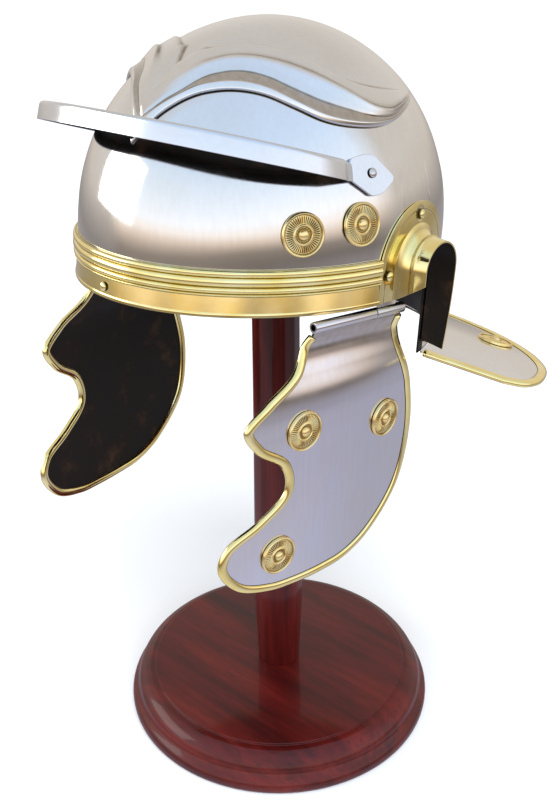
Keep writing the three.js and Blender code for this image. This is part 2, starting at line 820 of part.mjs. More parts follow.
// Where a sheet that hangs from a knuckle ends inside the knuckle's wall.
const KNUCKLE_GRIP = (PIN_RADIUS + PIN_GAP + KNUCKLE_RADIUS) / 2;

function cheekPlate() {
  const path = cheekPath();
  const inset = sheetInset(CHEEK_SHEET);
  const edge = path.map((place, i) => {
    const { normal } = onCheek(place.y, place.z);
    return edgeRing(place, edgeTangent(path, i), normal, 1, [[inset, 0]])[0];
  });
  const front = edge.slice(0, CHEEK_ROWS);
  const back = edge.slice(CHEEK_ROWS).reverse();
  const web = [KNUCKLE_GRIP, 0.1 * CHEEK_DROP].map((drop) => {
    const z = HINGE_FRONT.z - drop;
    const near = HINGE_FRONT.clone().lerp(HINGE_BACK, 0.02);
    const far = HINGE_FRONT.clone().lerp(HINGE_BACK, KNUCKLE_SPLIT - 0.02);
    return [new THREE.Vector3(0, near.y, z), new THREE.Vector3(0, far.y, z)];
  });
  const webSheet = cheekSheet(web.map(([near]) => near), web.map(([, far]) => far), CHEEK_COLUMNS);
  return joined([cheekSheet(front, back, CHEEK_COLUMNS), webSheet, knuckle(0, KNUCKLE_SPLIT)]);
}

// The fixed half of a hinge: a knuckle on a leaf that lies inside the bowl's wall.
function hingeLeaf() {
  const split = KNUCKLE_SPLIT + KNUCKLE_GAP / HINGE_LENGTH;
  const near = HINGE_FRONT.clone().lerp(HINGE_BACK, split + 0.02).y;
  const far = Math.min(HINGE_BACK.y, EAR_Y - EAR_MOUTH_RADIUS) - LEAF_SHEET;
  const outside = -BOWL_WALL - 2 * SEAT_GAP;
  const foot = HINGE_FRONT.z + KNUCKLE_GRIP;
  const leaf = loft(steps(3).map((share) => {
    const y = mix(near, far, share);
    const skin = (offset) => [LEAF_HEIGHT, 0].map((z) => onBowlSide(y, z, offset));
    const [top, edge] = skin(outside);
    const [innerTop, innerEdge] = skin(outside - LEAF_SHEET);
    const middle = hingeX(y);
    const outerFoot = new THREE.Vector3(middle + LEAF_SHEET / 2, y, foot);
    const innerFoot = new THREE.Vector3(middle - LEAF_SHEET / 2, y, foot);
    return [top, edge, outerFoot, innerFoot, innerEdge, innerTop];
  }));
  return joined([leaf, knuckle(split, 1)]);
}

function hingePin() {
  const length = HINGE_LENGTH - 2 * PIN_SETBACK;
  const profile = [[0, 0], [PIN_RADIUS, 0], [PIN_RADIUS, length], [0, length]];
  const start = HINGE_FRONT.clone().addScaledVector(HINGE_DIRECTION, PIN_SETBACK);
  return standOn(turned(profile, RIVET_SIDES), start, HINGE_DIRECTION);
}

// A domed disc with a raised rim and a centre boss: shares of its radius and height.
const ROSETTE_PROFILE = [
  [0, 0],
  [1, 0],
  [0.95, 0.48],
  [0.82, 0.26],
  [0.38, 0.34],
  [0.28, 0.82],
  [0, 1],
];

function rosette(place, direction) {
  const profile = ROSETTE_PROFILE.map(([r, h]) => [r * ROSETTE_RADIUS, h * ROSETTE_HEIGHT]);
  return standOn(turned(profile, ROSETTE_SIDES), place, direction);
}

function rivet(place, direction) {
  const profile = [[0, 0], [1, 0], [0.75, 0.7], [0, 1]].map(([r, h]) => [r * RIVET_RADIUS, h * RIVET_HEIGHT]);
  return standOn(turned(profile, RIVET_SIDES), place, direction);
}

// Stand
const BASE_PROFILE = [
  [0.985, 0],
  [1, 0.08],
  [1, 0.28],
  [0.968, 0.42],
  [0.955, 0.5],
  [0.95, 0.66],
  [0.915, 0.83],
  [0.868, 0.93],
];

function standBase() {
  const body = BASE_PROFILE.map(([r, h]) => [r * BASE_RADIUS, h * BASE_HEIGHT]);
  const lip = [[BASE_TOP_RADIUS, 0.94 * BASE_HEIGHT], [BASE_TOP_RADIUS, BASE_HEIGHT]];
  return turned([[0, 0], ...body, ...lip, [0, BASE_HEIGHT]], BASE_SIDES);
}

const HEAD_TOP_ROW = 5;
const HEAD_BOTTOM = domeHeight(HEAD_TOP_ROW, BOWL_INNER_ROWS) - HEAD_DEPTH;

// The hidden head of the stand, which carries the crown from inside.
function standHead() {
  const offset = -BOWL_WALL - SEAT_GAP;
  const foot = ringOfBowl(() => domeHeight(HEAD_TOP_ROW, BOWL_INNER_ROWS), offset).map((place) => {
    return new THREE.Vector3(place.x * 0.9, place.y * 0.9, HEAD_BOTTOM);
  });
  const rings = [[new THREE.Vector3(0, CROWN_SHIFT, HEAD_BOTTOM)], foot];
  for (let row = HEAD_TOP_ROW; row < BOWL_INNER_ROWS; row += 1) {
    rings.push(ringOfBowl(() => domeHeight(row, BOWL_INNER_ROWS), offset));
  }
  rings.push(crown(offset));
  return loft(rings);
}

// The post's height and radius as shares. Its top is cut parallel to the head's underside.
const POST_PROFILE = [
  [0, 0.875],
  [0.05, 0.93],
  [0.12, 1],
  [0.28, 0.965],
  [0.55, 0.91],
  [1, 0.893],
];

function standPost() {
  const foot = BASE_HEIGHT + SEAT_GAP;
  const top = RIM_HEIGHT + (HEAD_BOTTOM - SEAT_GAP) / Math.cos(TILT) + RIM_SETBACK * Math.tan(TILT);
  const body = POST_PROFILE.map(([up, radius]) => [radius * POST_RADIUS, mix(foot, top, up)]);
  const post = turned([[0, foot], ...body, [0, top]], POST_SIDES);
  const place = post.attributes.position;
  for (let i = 0; i < place.count; i += 1) {
    if (place.getZ(i) > top - 1) place.setZ(i, top - place.getY(i) * Math.tan(TILT));
  }
  return post;
}

addPiece(object, 'stand_base', standBase(), 'wood');
addPiece(object, 'stand_post', standPost(), 'wood');
addPiece(helmet, 'stand_head', standHead(), 'wood');
addPiece(helmet, 'bowl', bowl(), 'steel');
addPiece(helmet, 'neck_guard', neckGuard(), 'steel');
addPiece(helmet, 'neck_trim', neckTrim(), 'brass');
addPiece(helmet, 'brow_guard', browGuard(), 'steel');
addPiece(helmet, 'brow_band', browBand(), 'brass');

// A piece made for the +X side, and its mirror image.
function addPair(name, geometry, finish) {
  addPiece(helmet, `${name}_left`, geometry, finish);
  addPiece(helmet, `${name}_right`, mirrored(geometry), finish);
}

addPair('ear_guard', earGuard(), 'brass');
addPair('cheek_plate', cheekPlate(), 'steel');
addPair('cheek_trim', cheekTrim(), 'brass');
addPair('hinge_leaf', hingeLeaf(), 'steel');
addPair('hinge_pin', hingePin(), 'steel');

// Rosettes and rivets on the bowl's sides: name, y, height above the rim, and what lies under them.
const BOWL_ROSETTES = [
  ['bowl_rosette_front', -72.2, 44.9],
  ['bowl_rosette_back', -37.8, 47.9],
];
for (const [name, y, height] of BOWL_ROSETTES) {
  addPair(name, rosette(onBowlSide(y, height, SEAT_GAP), bowlNormalAtSide(y, height)), 'brass');
}

const TAB_STACK = TAB_LIFT + GUARD_SHEET + SEAT_GAP;
const FLANGE_STACK = CURVED_SEAT_GAP + EAR_SHEET + SEAT_GAP;
const SIDE_RIVETS = [
  ['brow_rivet', TAB_RIVET_Y, TAB_RIVET_Z, TAB_STACK, 'steel'],
  ['ear_rivet_front', EAR_Y - EAR_RIVET_RADIUS, EAR_SPRING_Z - 2.4, FLANGE_STACK, 'brass'],
  ['ear_rivet_top', EAR_Y, EAR_SPRING_Z + EAR_RIVET_RADIUS, FLANGE_STACK, 'brass'],
  ['ear_rivet_back', EAR_Y + EAR_RIVET_RADIUS, EAR_SPRING_Z - 2.4, FLANGE_STACK, 'brass'],
];
for (const [name, y, height, stack, finish] of SIDE_RIVETS) {
  addPair(name, rivet(onBowlSide(y, height, stack), bowlNormalAtSide(y, height)), finish);
}

// Cheek rosettes: how far forward and down, as shares of the cheek guard's width and drop.
const CHEEK_ROSETTES = [
  ['cheek_rosette_front', 0.659, 0.36],
  ['cheek_rosette_back', 0.205, 0.424],
  ['cheek_rosette_low', 0.73, 0.84],
];
for (const [name, forward, down] of CHEEK_ROSETTES) {
  const y = CHEEK_BACK - forward * CHEEK_WIDTH;
  const { place, normal } = onCheek(y, HINGE_FRONT.z - down * CHEEK_DROP, CHEEK_SHEET / 2 + SEAT_GAP);
  addPair(name, rosette(place, normal), 'brass');
}

const neckRosette = onNeck(0.64 * NECK_HALF_WIDTH, 0.7 * NECK_REACH, NECK_SHEET / 2 + SEAT_GAP);
addPair('neck_rosette', rosette(neckRosette.place, neckRosette.normal), 'brass');

const BAND_RIVET_AZIMUTH = 4.4 * DEGREE;
const BAND_STACK = CURVED_SEAT_GAP + 0.5 * BAND_RIB + SEAT_GAP;
const bandRivetPlace = onBowl(-BAND_RIVET_AZIMUTH, 0.245 * BAND_HEIGHT, BAND_STACK);
const bandRivetAxis = onBowl(-BAND_RIVET_AZIMUTH, 0, 1).sub(onBowl(-BAND_RIVET_AZIMUTH, 0));
addPiece(helmet, 'band_rivet', rivet(bandRivetPlace, bandRivetAxis), 'brass');

export default object;
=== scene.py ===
# A Roman legionary helmet with hinged cheek guards, on its turned wooden stand.
# Metres, +Z up. The helmet looks towards -Y, and +X is the wearer's left.
import json
import math

import bmesh
import bpy
import numpy as np
from mathutils import Matrix, Vector


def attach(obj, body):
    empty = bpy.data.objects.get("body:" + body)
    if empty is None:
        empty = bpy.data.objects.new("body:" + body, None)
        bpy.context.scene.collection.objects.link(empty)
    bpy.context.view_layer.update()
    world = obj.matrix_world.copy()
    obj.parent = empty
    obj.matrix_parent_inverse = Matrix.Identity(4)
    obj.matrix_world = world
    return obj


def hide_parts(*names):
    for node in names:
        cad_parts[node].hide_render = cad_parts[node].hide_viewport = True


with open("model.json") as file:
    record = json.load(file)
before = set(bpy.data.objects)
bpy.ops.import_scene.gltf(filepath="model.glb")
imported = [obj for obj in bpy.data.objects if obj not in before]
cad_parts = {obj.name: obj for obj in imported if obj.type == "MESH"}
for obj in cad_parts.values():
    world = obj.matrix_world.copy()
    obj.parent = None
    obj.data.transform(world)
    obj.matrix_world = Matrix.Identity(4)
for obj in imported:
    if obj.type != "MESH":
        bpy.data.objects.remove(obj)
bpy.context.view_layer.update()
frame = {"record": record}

# Clearances
SEAT_GAP = 0.0003
SLOT_GAP = 0.0005
PIN_GAP = 0.0003
KNUCKLE_GAP = 0.0006

# The helmet's place on the stand. Its own axes start at the middle of the bowl's rim.
RIM_HEIGHT = 0.3584
RIM_SETBACK = -0.008
TILT = math.radians(4.68)

# Bowl
BOWL_HALF_WIDTH = 0.105
BOWL_FRONT = 0.1288
BOWL_BACK = 0.1233
BAND_HEIGHT = 0.0261
DOME_RISE = 0.1247
CROWN_SHIFT = -0.0025
DOME_RISE_POWER = 2.11
DOME_PLAN_POWER = 1.95
BOWL_WALL = 0.0014
BOWL_TOP = BAND_HEIGHT + DOME_RISE
NAPE_DROP_SIDE = 0.043
NAPE_DROP_BACK = 0.049
NAPE_FLARE = 0.009
NAPE_FLARE_POWER = 4
BAND_RIB = 0.003
BAND_LEAN = 0.08
BAND_LEAN_SIDE = 0.14
EYEBROW_RELIEF = 0.0044
DENT_DEPTH = 0.00022
CROWN_FLAT = 0.0006
NOTCH_SLIVER = 0.00015

# Brow guard
GUARD_HALF_WIDTH = BOWL_HALF_WIDTH - 0.001
GUARD_REACH = 0.1407
GUARD_END = 0.060
GUARD_HEIGHT = 0.0855
GUARD_SLOPE = math.radians(13.4)
GUARD_POWER = 2.3
GUARD_RIM = 0.0105
GUARD_SHEET = 0.0016
GUARD_BEND = 0.0026
GUARD_FLARE = 0.0022
TAB_LENGTH = 0.032
TAB_HEIGHT = 0.020
TAB_RIVET_Y = -0.0282
TAB_RIVET_Z = 0.0738

# Ear guards
EAR_Y = 0.014
EAR_SPRING_Z = 0.018
EAR_FLANGE_RADIUS = 0.0365
EAR_ROOT_RADIUS = 0.022
EAR_SKIRT_RADIUS = 0.0238
EAR_TUBE_RADIUS = 0.0174
EAR_MOUTH_RADIUS = 0.0165
EAR_STAND = 0.017
EAR_SHEET = 0.001
EAR_BORDER = 0.0042
EAR_RECESS = 0.0005
EAR_MOUTH_FRONT_Z = 0.010
EAR_LEG_DROP = 0.038
EAR_LEG_LEAN = 0.005

# Neck guard
NECK_SHEET = 0.0014
NECK_HALF_WIDTH = 0.1667
NECK_REACH = 0.1748
NECK_SLOPE_SIDE = math.radians(8.5)
NECK_SLOPE_BACK = math.radians(17)
NECK_TRIM_WIDTH = 0.0065

# Cheek guards
CHEEK_SHEET = 0.0014
CHEEK_DROP = 0.165
CHEEK_WIDTH = 0.154
CHEEK_BACK = 0.0275
CHEEK_INSET = 0.0054
CHEEK_MIDDLE_Y = -0.035
CHEEK_MIDDLE_DROP = 0.0735
CHEEK_TOE = 0.098
CHEEK_LEAN = 0.0144
CHEEK_BOW_RADIUS = 0.526
CHEEK_DRAPE_RADIUS = 1.524
CHEEK_BLEND = 0.040
CHEEK_TRIM_WIDTH = 0.0055

# Edge trim that wraps the sheets
TRIM_SHEET = 0.0007
TRIM_BEAD = 0.0003
TRIM_FLOOR = 1.9 * TRIM_SHEET

# Hinges
HINGE_DROP = 0.0065
HINGE_FRONT = np.array([BOWL_HALF_WIDTH - 0.011, -0.0684, -HINGE_DROP])
HINGE_BACK = np.array([BOWL_HALF_WIDTH - 0.0005, 0.0027, -HINGE_DROP])
HINGE_LENGTH = float(np.linalg.norm(HINGE_BACK - HINGE_FRONT))
HINGE_DIRECTION = (HINGE_BACK - HINGE_FRONT) / HINGE_LENGTH
KNUCKLE_RADIUS = 0.00325
PIN_RADIUS = 0.0013
KNUCKLE_SPLIT = 0.67
LEAF_SHEET = 0.001
LEAF_HEIGHT = 0.018
PIN_SETBACK = 0.002
WEB_SETBACK = 0.02
WEB_FOOT = 0.1

# Rosettes and rivets
ROSETTE_RADIUS = 0.0122
ROSETTE_HEIGHT = 0.0034
ROSETTE_RIBS = 46
ROSETTE_RIB_DEPTH = 0.00045
ROSETTE_BEADS = 16
ROSETTE_BEAD_RISE = 0.0003
RIVET_RADIUS = 0.0028
RIVET_HEIGHT = 0.0018

# Stand
BASE_RADIUS = 0.117
BASE_TOP_RADIUS = 0.0979
BASE_HEIGHT = 0.030
POST_RADIUS = 0.01825
HEAD_DEPTH = 0.020
FLUTE_DEPTH = 0.0004
FLUTES = 12

# How finely the pieces are divided
BOWL_COLUMNS = 360
WALL_ROWS = 40
CROWN_ROWS = 25
INNER_ROWS = 34
BAND_STATIONS = 300
BAND_ROWS = 130
GUARD_STATIONS = 240
RIM_PIECES = 8
TAB_STATIONS = 120
EDGE_STATIONS = 260
TRIM_STEPS = 19
FLANGE_ROWS = 26
FRONT_LEG_STEPS = 18
ARCH_STEPS = 150
LEG_STEPS = 40
NECK_ROWS = 40
NECK_FRONT_STATIONS = 24
CHEEK_COLUMNS = 60
WEB_ROWS = 24
LEAF_ROWS = 16
POST_ROWS = 90
TURNED_SIDES = 192
HEAD_SIDES = 96
HEAD_ROWS = 14
KNUCKLE_SIDES = 40
RIVET_SIDES = 32

# The photograph's camera, by its calibrated place and turn
CAMERA_PLACE = (0.4198, -0.4831, 0.5706)
CAMERA_YAW = math.radians(41.11)
CAMERA_DOWN = math.radians(26.28)
CAMERA_ROLL = math.radians(-0.61)
CAMERA_LENS = 45.85
CAMERA_SENSOR = 36

HELMET_TURN = np.array(Matrix.Rotation(-TILT, 3, "X"))
HELMET_PLACE = np.array([0, RIM_SETBACK, RIM_HEIGHT])
SIDES = (("left", 1), ("right", -1))

BODY_OF = {node: body for body, nodes in frame["record"]["behaviour"]["bodies"].items() for node in nodes}


# Plain geometry

def mix(low, high, share):
    return low + (high - low) * share


def unit(vectors):
    return vectors / np.linalg.norm(vectors, axis=-1, keepdims=True)


def smooth_step(low, high, value):
    share = np.clip((value - low) / (high - low), 0, 1)
    return share * share * (3 - 2 * share)


def resampled(points, count):
    """Evenly spaced points along a polyline."""
    points = np.asarray(points, float)
    lengths = np.linalg.norm(np.diff(points, axis=0), axis=1)
    along = np.concatenate([[0], np.cumsum(lengths)])
    wanted = np.linspace(0, along[-1], count)
    return np.stack([np.interp(wanted, along, column) for column in points.T], axis=1)


def curve_through(points, count):
    """Evenly spaced points on a smooth centripetal curve through the given points."""
    points = np.asarray(points, float)
    ends = [2 * points[0] - points[1], *points, 2 * points[-1] - points[-2]]
    dense = []
    for a, b, c, d in zip(ends, ends[1:], ends[2:], ends[3:]):
        ta = np.sqrt(np.linalg.norm(b - a))
        tb = ta + np.sqrt(np.linalg.norm(c - b))
        tc = tb + np.sqrt(np.linalg.norm(d - c))
        t = np.linspace(ta, tb, 32, endpoint=False)[:, None]
        ab = mix(a, b, t / ta)
        bc = mix(b, c, (t - ta) / (tb - ta))
        cd = mix(c, d, (t - tb) / (tc - tb))
        abc = mix(ab, bc, t / tb)
        bcd = mix(bc, cd, (t - ta) / (tc - ta))
        dense.append(mix(abc, bcd, (t - ta) / (tb - ta)))
    return resampled([*np.concatenate(dense), points[-1]], count)


def smooth_rows(at, places, rows):
    """Columns of a table read smoothly between its rows."""
    places = np.asarray(places, float)
    rows = np.asarray(rows, float)
    slopes = np.gradient(rows, places, axis=0)
    i = np.clip(np.searchsorted(places, at, side="right") - 1, 0, len(places) - 2)
    width = (places[i + 1] - places[i])[..., None]
    t = np.clip((at - places[i])[..., None] / width, 0, 1)
    start = rows[i] * (2 * t**3 - 3 * t**2 + 1) + slopes[i] * width * (t**3 - 2 * t**2 + t)
    end = rows[i + 1] * (3 * t**2 - 2 * t**3) + slopes[i + 1] * width * (t**3 - t**2)
    return start + end


def rounded(corners, radii, pieces=6):
    """A polyline whose corners are rounded, each over the given length on both sides."""
    corners = np.asarray(corners, float)
    points = []
    for i, corner in enumerate(corners):
        if radii[i] == 0:
            points.append(corner)
            continue
        before = corners[i - 1] - corner
        after = corners[i + 1] - corner
        start = corner + unit(before) * min(radii[i], np.linalg.norm(before) / 2)
        end = corner + unit(after) * min(radii[i], np.linalg.norm(after) / 2)
        for t in np.linspace(0, 1, pieces + 1):
            points.append((1 - t) ** 2 * start + 2 * t * (1 - t) * corner + t**2 * end)
    return np.array(points)


def stretched(section, count):
    """Extra points between those of each section, laid evenly in each of its stretches."""
    shares = np.linspace(0, 1, count, endpoint=False)[:, None]
    steps = [mix(a, b, shares) for a, b in zip(section, section[1:])]
    return np.concatenate([*steps, section[-1:]])


def loft(rings, ends=True, inner_from=None):
    """A solid through rings of equally many points. Its ends are closed from skin to skin, if wanted.

    Faces from the ring's point inner_from on are the inside of a sheet.
    """
    rings = np.asarray(rings, float)
    rows, count = rings.shape[:2]
    corners = np.arange(rows * count).reshape(rows, count)
    around = np.roll(corners, -1, axis=1)
    quads = np.stack([corners[:-1], around[:-1], around[1:], corners[1:]], axis=-1).reshape(-1, 4)
    inside = np.zeros(len(quads), bool)
    if inner_from is not None:
        place = np.arange(count)
        inside = np.tile((place >= inner_from) & (place < count - 1), rows - 1)
    if ends:
        near = np.arange(count // 2 - 1)
        far = count - 1 - near
        for ring in (corners[0], corners[-1]):
            cap = np.stack([ring[near], ring[near + 1], ring[far - 1], ring[far]], axis=-1)
            quads = np.concatenate([quads, cap])
            inside = np.concatenate([inside, np.zeros(len(cap), bool)])
    return rings.reshape(-1, 3), quads, inside


def sheet(outer, inner):
    """A sheet from the stations of its outer and of its inner skin."""
    outer = np.asarray(outer)
    rings = np.concatenate([outer, np.asarray(inner)[:, ::-1]], axis=1)
    return loft(rings, inner_from=outer.shape[1])


def turned(profile, sides=TURNED_SIDES, wave=None):
    """Rows of radius and height turned round +Z. A wave changes them by radius, height and angle."""
    profile = np.asarray(profile, float)
    angle = np.linspace(0, 2 * math.pi, sides, endpoint=False)
    radius = profile[:, :1] * np.ones(sides)
    height = profile[:, 1:] * np.ones(sides)
    if wave is not None:
        radius, height = wave(radius, height, angle)
    return loft(np.stack([radius * np.cos(angle), radius * np.sin(angle), height], axis=-1), ends=False)


def stood_on(solid, place, direction):
    """Stands a turned solid on a point, with its axis along a direction."""
    points, quads, inside = solid
    turn = np.array(Vector((0, 0, 1)).rotation_difference(Vector(direction)).to_matrix())
    return points @ turn.T + np.asarray(place), quads, inside


def mirrored(solid, sign):
    points, quads, inside = solid
    return points * np.array([sign, 1, 1]), quads, inside


def on_helmet(solid):
    points, quads, inside = solid
    return points @ HELMET_TURN.T + HELMET_PLACE, quads, inside


# Pieces

def build_mesh(name, solids, tarnish=None):
    """One mesh from closed solids, with poles merged and faces turned out.

    Inner faces get the second material. Tarnish and painted shade have a share for each point of the
    solids, in their order.
    """
    mesh = bpy.data.meshes.new(name)
    work = bmesh.new()
    layer = work.verts.layers.float.new("tarnish")
    shares = iter([] if tarnish is None else np.ravel(tarnish).tolist())
    for points, quads, inside in solids:
        corners = [work.verts.new(point) for point in points]
        for corner, share in zip(corners, shares):
            corner[layer] = share
        for quad, inner in zip(quads.tolist(), inside.tolist()):
            face = work.faces.new([corners[i] for i in quad])
            face.material_index = int(inner)
            face.smooth = True
    bmesh.ops.remove_doubles(work, verts=work.verts, dist=2e-6)
    bmesh.ops.dissolve_degenerate(work, dist=1e-7, edges=work.edges)
    bmesh.ops.recalc_face_normals(work, faces=work.faces)
    work.to_mesh(mesh)
    work.free()
    return mesh


def add_piece(node, solids, materials, bevel=0.0, crease=38, tarnish=None):
    """A detailed piece that stands for one CAD node and moves with its body."""
    mesh = build_mesh(node + "_fine", solids, tarnish)
    mesh.set_sharp_from_angle(angle=math.radians(crease))
    thing = bpy.data.objects.new(node + "_fine", mesh)
    bpy.context.scene.collection.objects.link(thing)
    for material in materials:
        mesh.materials.append(material)
    if bevel:
        edge = thing.modifiers.new("edge", "BEVEL")
        edge.width = bevel
        edge.segments = 2
        edge.limit_method = "ANGLE"
        edge.angle_limit = math.radians(50)
        edge.harden_normals = True
    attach(thing, BODY_OF[node])
    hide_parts(node)
    return thing


def add_pair(name, solids, materials, **finish):
    """A piece made for the left side, and its mirror image."""
    for side, sign in SIDES:
        add_piece(f"{name}_{side}", [on_helmet(mirrored(s, sign)) for s in solids], materials, **finish)


# The bowl's form. Azimuth runs from the front towards +X, height from the rim.

def dome_share(height):
    return np.clip((height - BAND_HEIGHT) / DOME_RISE, 0, 1)


def plan_scale(share):
    return (1 - share**DOME_RISE_POWER) ** (1 / DOME_PLAN_POWER)


def bowl_normal(sideways, along, share, length):
    rest = np.maximum(1 - share**DOME_RISE_POWER, 1e-9)
    fall = DOME_RISE_POWER / DOME_PLAN_POWER * share ** (DOME_RISE_POWER - 1)
    rise = fall * rest ** (2 / DOME_PLAN_POWER - 1) - along * CROWN_SHIFT / length**2
    rise = np.where(share > 0, rise / DOME_RISE, 0)
    return unit(np.stack([sideways / BOWL_HALF_WIDTH**2, along / length**2, rise], axis=-1))


def on_bowl(azimuth, height, offset=0.0):
    """A point on the bowl's outer face, or off it by the offset along the face's own direction."""
    azimuth, height, offset = np.broadcast_arrays(azimuth, height, offset)
    share = dome_share(height)
    scale = plan_scale(share)
    length = np.where(np.cos(azimuth) > 0, BOWL_FRONT, BOWL_BACK)
    sideways = BOWL_HALF_WIDTH * scale * np.sin(azimuth)
    along = -length * scale * np.cos(azimuth)
    place = np.stack([sideways, along + CROWN_SHIFT * share, height], axis=-1)
    behind = np.maximum(-np.cos(azimuth), 0) ** NAPE_FLARE_POWER
    flare = NAPE_FLARE * behind * (np.minimum(height, 0) / NAPE_DROP_BACK) ** 2
    return place + bowl_normal(sideways, along, share, length) * (offset + flare)[..., None]


def azimuth_at(y, height):
    """The azimuth of the point on the +X side of the bowl with this y and height."""
    share = dome_share(height)
    length = np.where(y < CROWN_SHIFT * share, BOWL_FRONT, BOWL_BACK)
    return np.arccos(np.clip(-(y - CROWN_SHIFT * share) / (length * plan_scale(share)), -1, 1))


def on_side(y, height, offset=0.0):
    return on_bowl(azimuth_at(y, height), height, offset)


def side_normal(y, height):
    return unit(on_side(y, height, 0.001) - on_side(y, height))


def nape_drop(azimuth):
    """How far the bowl's lower edge hangs below the rim. It steps down inside the ear notch."""
    y = -BOWL_BACK * np.cos(azimuth)
    half = EAR_MOUTH_RADIUS * 0.75
    step = np.clip((y - EAR_Y + half) / (2 * half), 0, 1)
    return step * mix(NAPE_DROP_SIDE, NAPE_DROP_BACK, np.clip(y / BOWL_BACK, 0, 1) ** 2)


# Eyebrow lines by azimuth in degrees: the share of the relief that is left there, and the heights of the
# lower edge, the lower ridge's top edge, the groove's upper edge, the upper ridge's top edge and the
# plateau's upper edge, as shares of the bowl's whole height. The last rows only spread the lines out
# again behind the eyebrow.
EYEBROW_ROWS = [
    [0, 0.70, 0.560, 0.636, 0.648, 0.733, 0.832],
    [3, 0.80, 0.605, 0.660, 0.672, 0.763, 0.855],
    [6, 0.92, 0.648, 0.683, 0.698, 0.785, 0.874],
    [12, 1.00, 0.702, 0.722, 0.740, 0.816, 0.882],
    [18, 1.00, 0.734, 0.754, 0.782, 0.836, 0.890],
    [25, 1.00, 0.752, 0.771, 0.804, 0.852, 0.896],
    [35, 1.00, 0.758, 0.777, 0.812, 0.857, 0.901],
    [45, 1.00, 0.743, 0.760, 0.796, 0.850, 0.896],
    [55, 1.00, 0.705, 0.720, 0.760, 0.833, 0.879],
    [64, 1.00, 0.666, 0.681, 0.726, 0.807, 0.852],
    [74, 1.00, 0.644, 0.658, 0.696, 0.762, 0.809],
    [84, 0.98, 0.639, 0.651, 0.671, 0.705, 0.779],
    [92, 0.92, 0.650, 0.658, 0.668, 0.688, 0.765],
    [101, 0.80, 0.675, 0.681, 0.688, 0.701, 0.755],
    [110, 0.55, 0.698, 0.703, 0.709, 0.719, 0.747],
    [118, 0.20, 0.716, 0.719, 0.723, 0.729, 0.741],
    [125, 0.00, 0.724, 0.727, 0.730, 0.734, 0.742],
    [150, 0.00, 0.66, 0.69, 0.72, 0.75, 0.78],
    [180, 0.00, 0.64, 0.68, 0.72, 0.76, 0.80],
]

# Across an eyebrow: the line it lies on or between, the relief and the dark colour as shares. The dark
# lines along the steps are painted shade and dirt; the brown in the groove is patina.
EYEBROW_SECTION = [
    [-0.20, 0, 0],
    [-0.03, 0, 0.1],
    [0, 0, 1],
    [0.02, 0.16, 1],
    [0.04, 0.28, 0.25],
    [0.08, 0.41, 0],
    [0.12, 0.47, 0],
    [0.5, 0.62, 0],
    [0.85, 0.745, 0],
    [0.97, 0.75, 0.15],
    [1.08, 0.68, 0.6],
    [1.25, 0.58, 0.6],
    [1.6, 0.50, 0.6],
    [1.90, 0.46, 0.6],
    [1.98, 0.455, 0.75],
    [2.02, 0.49, 0.75],
    [2.08, 0.56, 0.1],
    [2.5, 0.76, 0],
    [2.82, 0.93, 0],
    [2.90, 0.92, 0.5],
    [2.97, 0.84, 0.75],
    [3.05, 0.68, 0.78],
    [3.13, 0.60, 0.5],
    [3.25, 0.57, 0.1],
    [3.4, 0.55, 0],
    [3.85, 0.48, 0],
    [3.93, 0.36, 0.5],
    [3.99, 0.14, 0.75],
    [4.05, 0.02, 0.65],
    [4.13, 0, 0],
]
# The five lines, and one more on each side, as far away as their neighbours.
LINE_PLACES = np.arange(-1, 6)


def degrees_from_front(azimuth):
    return np.degrees(np.abs((azimuth + math.pi) % (2 * math.pi) - math.pi))


def eyebrow_heights(azimuth):
    """The heights of the lines and the relief's strength at each azimuth."""
    table = np.array(EYEBROW_ROWS)
    rows = smooth_rows(degrees_from_front(azimuth), table[:, 0], table[:, 1:])
    lines = rows[..., 1:] * BOWL_TOP
    below = 2 * lines[..., :1] - lines[..., 1:2]
    above = 2 * lines[..., -1:] - lines[..., -2:-1]
    return np.concatenate([below, lines, above], axis=-1), np.clip(rows[..., 0], 0, 1)


def line_height(lines, line):
    return np.array([np.interp(line, LINE_PLACES, column) for column in lines])


def eyebrow_share(line, column):
    table = np.array(EYEBROW_SECTION)
    return np.interp(line, table[:, 0], table[:, column])


def eyebrow_relief(line, strength):
    return EYEBROW_RELIEF * strength * eyebrow_share(line, 1)


def eyebrow_tarnish(azimuth, line, strength):
    """Dark colour along the eyebrow's lines: painted shade and dirt along the steps, brown patina in the
    groove. That of the upper ridge fades towards the nose.
    """
    fade = smooth_step(8, 20, degrees_from_front(azimuth)) if 2.5 < line < 3.6 else 1
    return eyebrow_share(line, 2) * strength**0.3 * fade


def relief_at(azimuth, height):
    """The eyebrow's relief at any point of the bowl."""
    lines, strength = eyebrow_heights(azimuth)
    return float(eyebrow_relief(np.interp(height, lines, LINE_PLACES), strength))


def dents(azimuth, height):
    """The slight unevenness of hand-beaten sheet."""
    slow = np.sin(3 * azimuth + 40 * height) * np.sin(2 * azimuth - 62 * height + 1)
    quick = np.sin(7 * azimuth + 95 * height + 2) * np.sin(5 * azimuth - 120 * height)
    share = dome_share(height)
    return DENT_DEPTH * (slow + 0.4 * quick) * np.cos(math.pi / 2 * share) ** 0.5 - CROWN_FLAT * share**6


def bowl_columns():
    """Azimuths round the bowl, with a close pair at each upright side of the two ear notches."""
    even = np.linspace(0, 2 * math.pi, BOWL_COLUMNS, endpoint=False)
    edges = []
    for side in (-1, 1):
        edge = EAR_Y + side * EAR_MOUTH_RADIUS
        edges += [float(azimuth_at(edge + side * NOTCH_SLIVER, 0.0)), float(azimuth_at(edge, 0.0))]
    edges = np.array(edges + [2 * math.pi - edge for edge in edges])
    clear = np.min(np.abs(even[:, None] - edges), axis=1) > 0.006
    return np.sort(np.concatenate([even[clear], edges]))


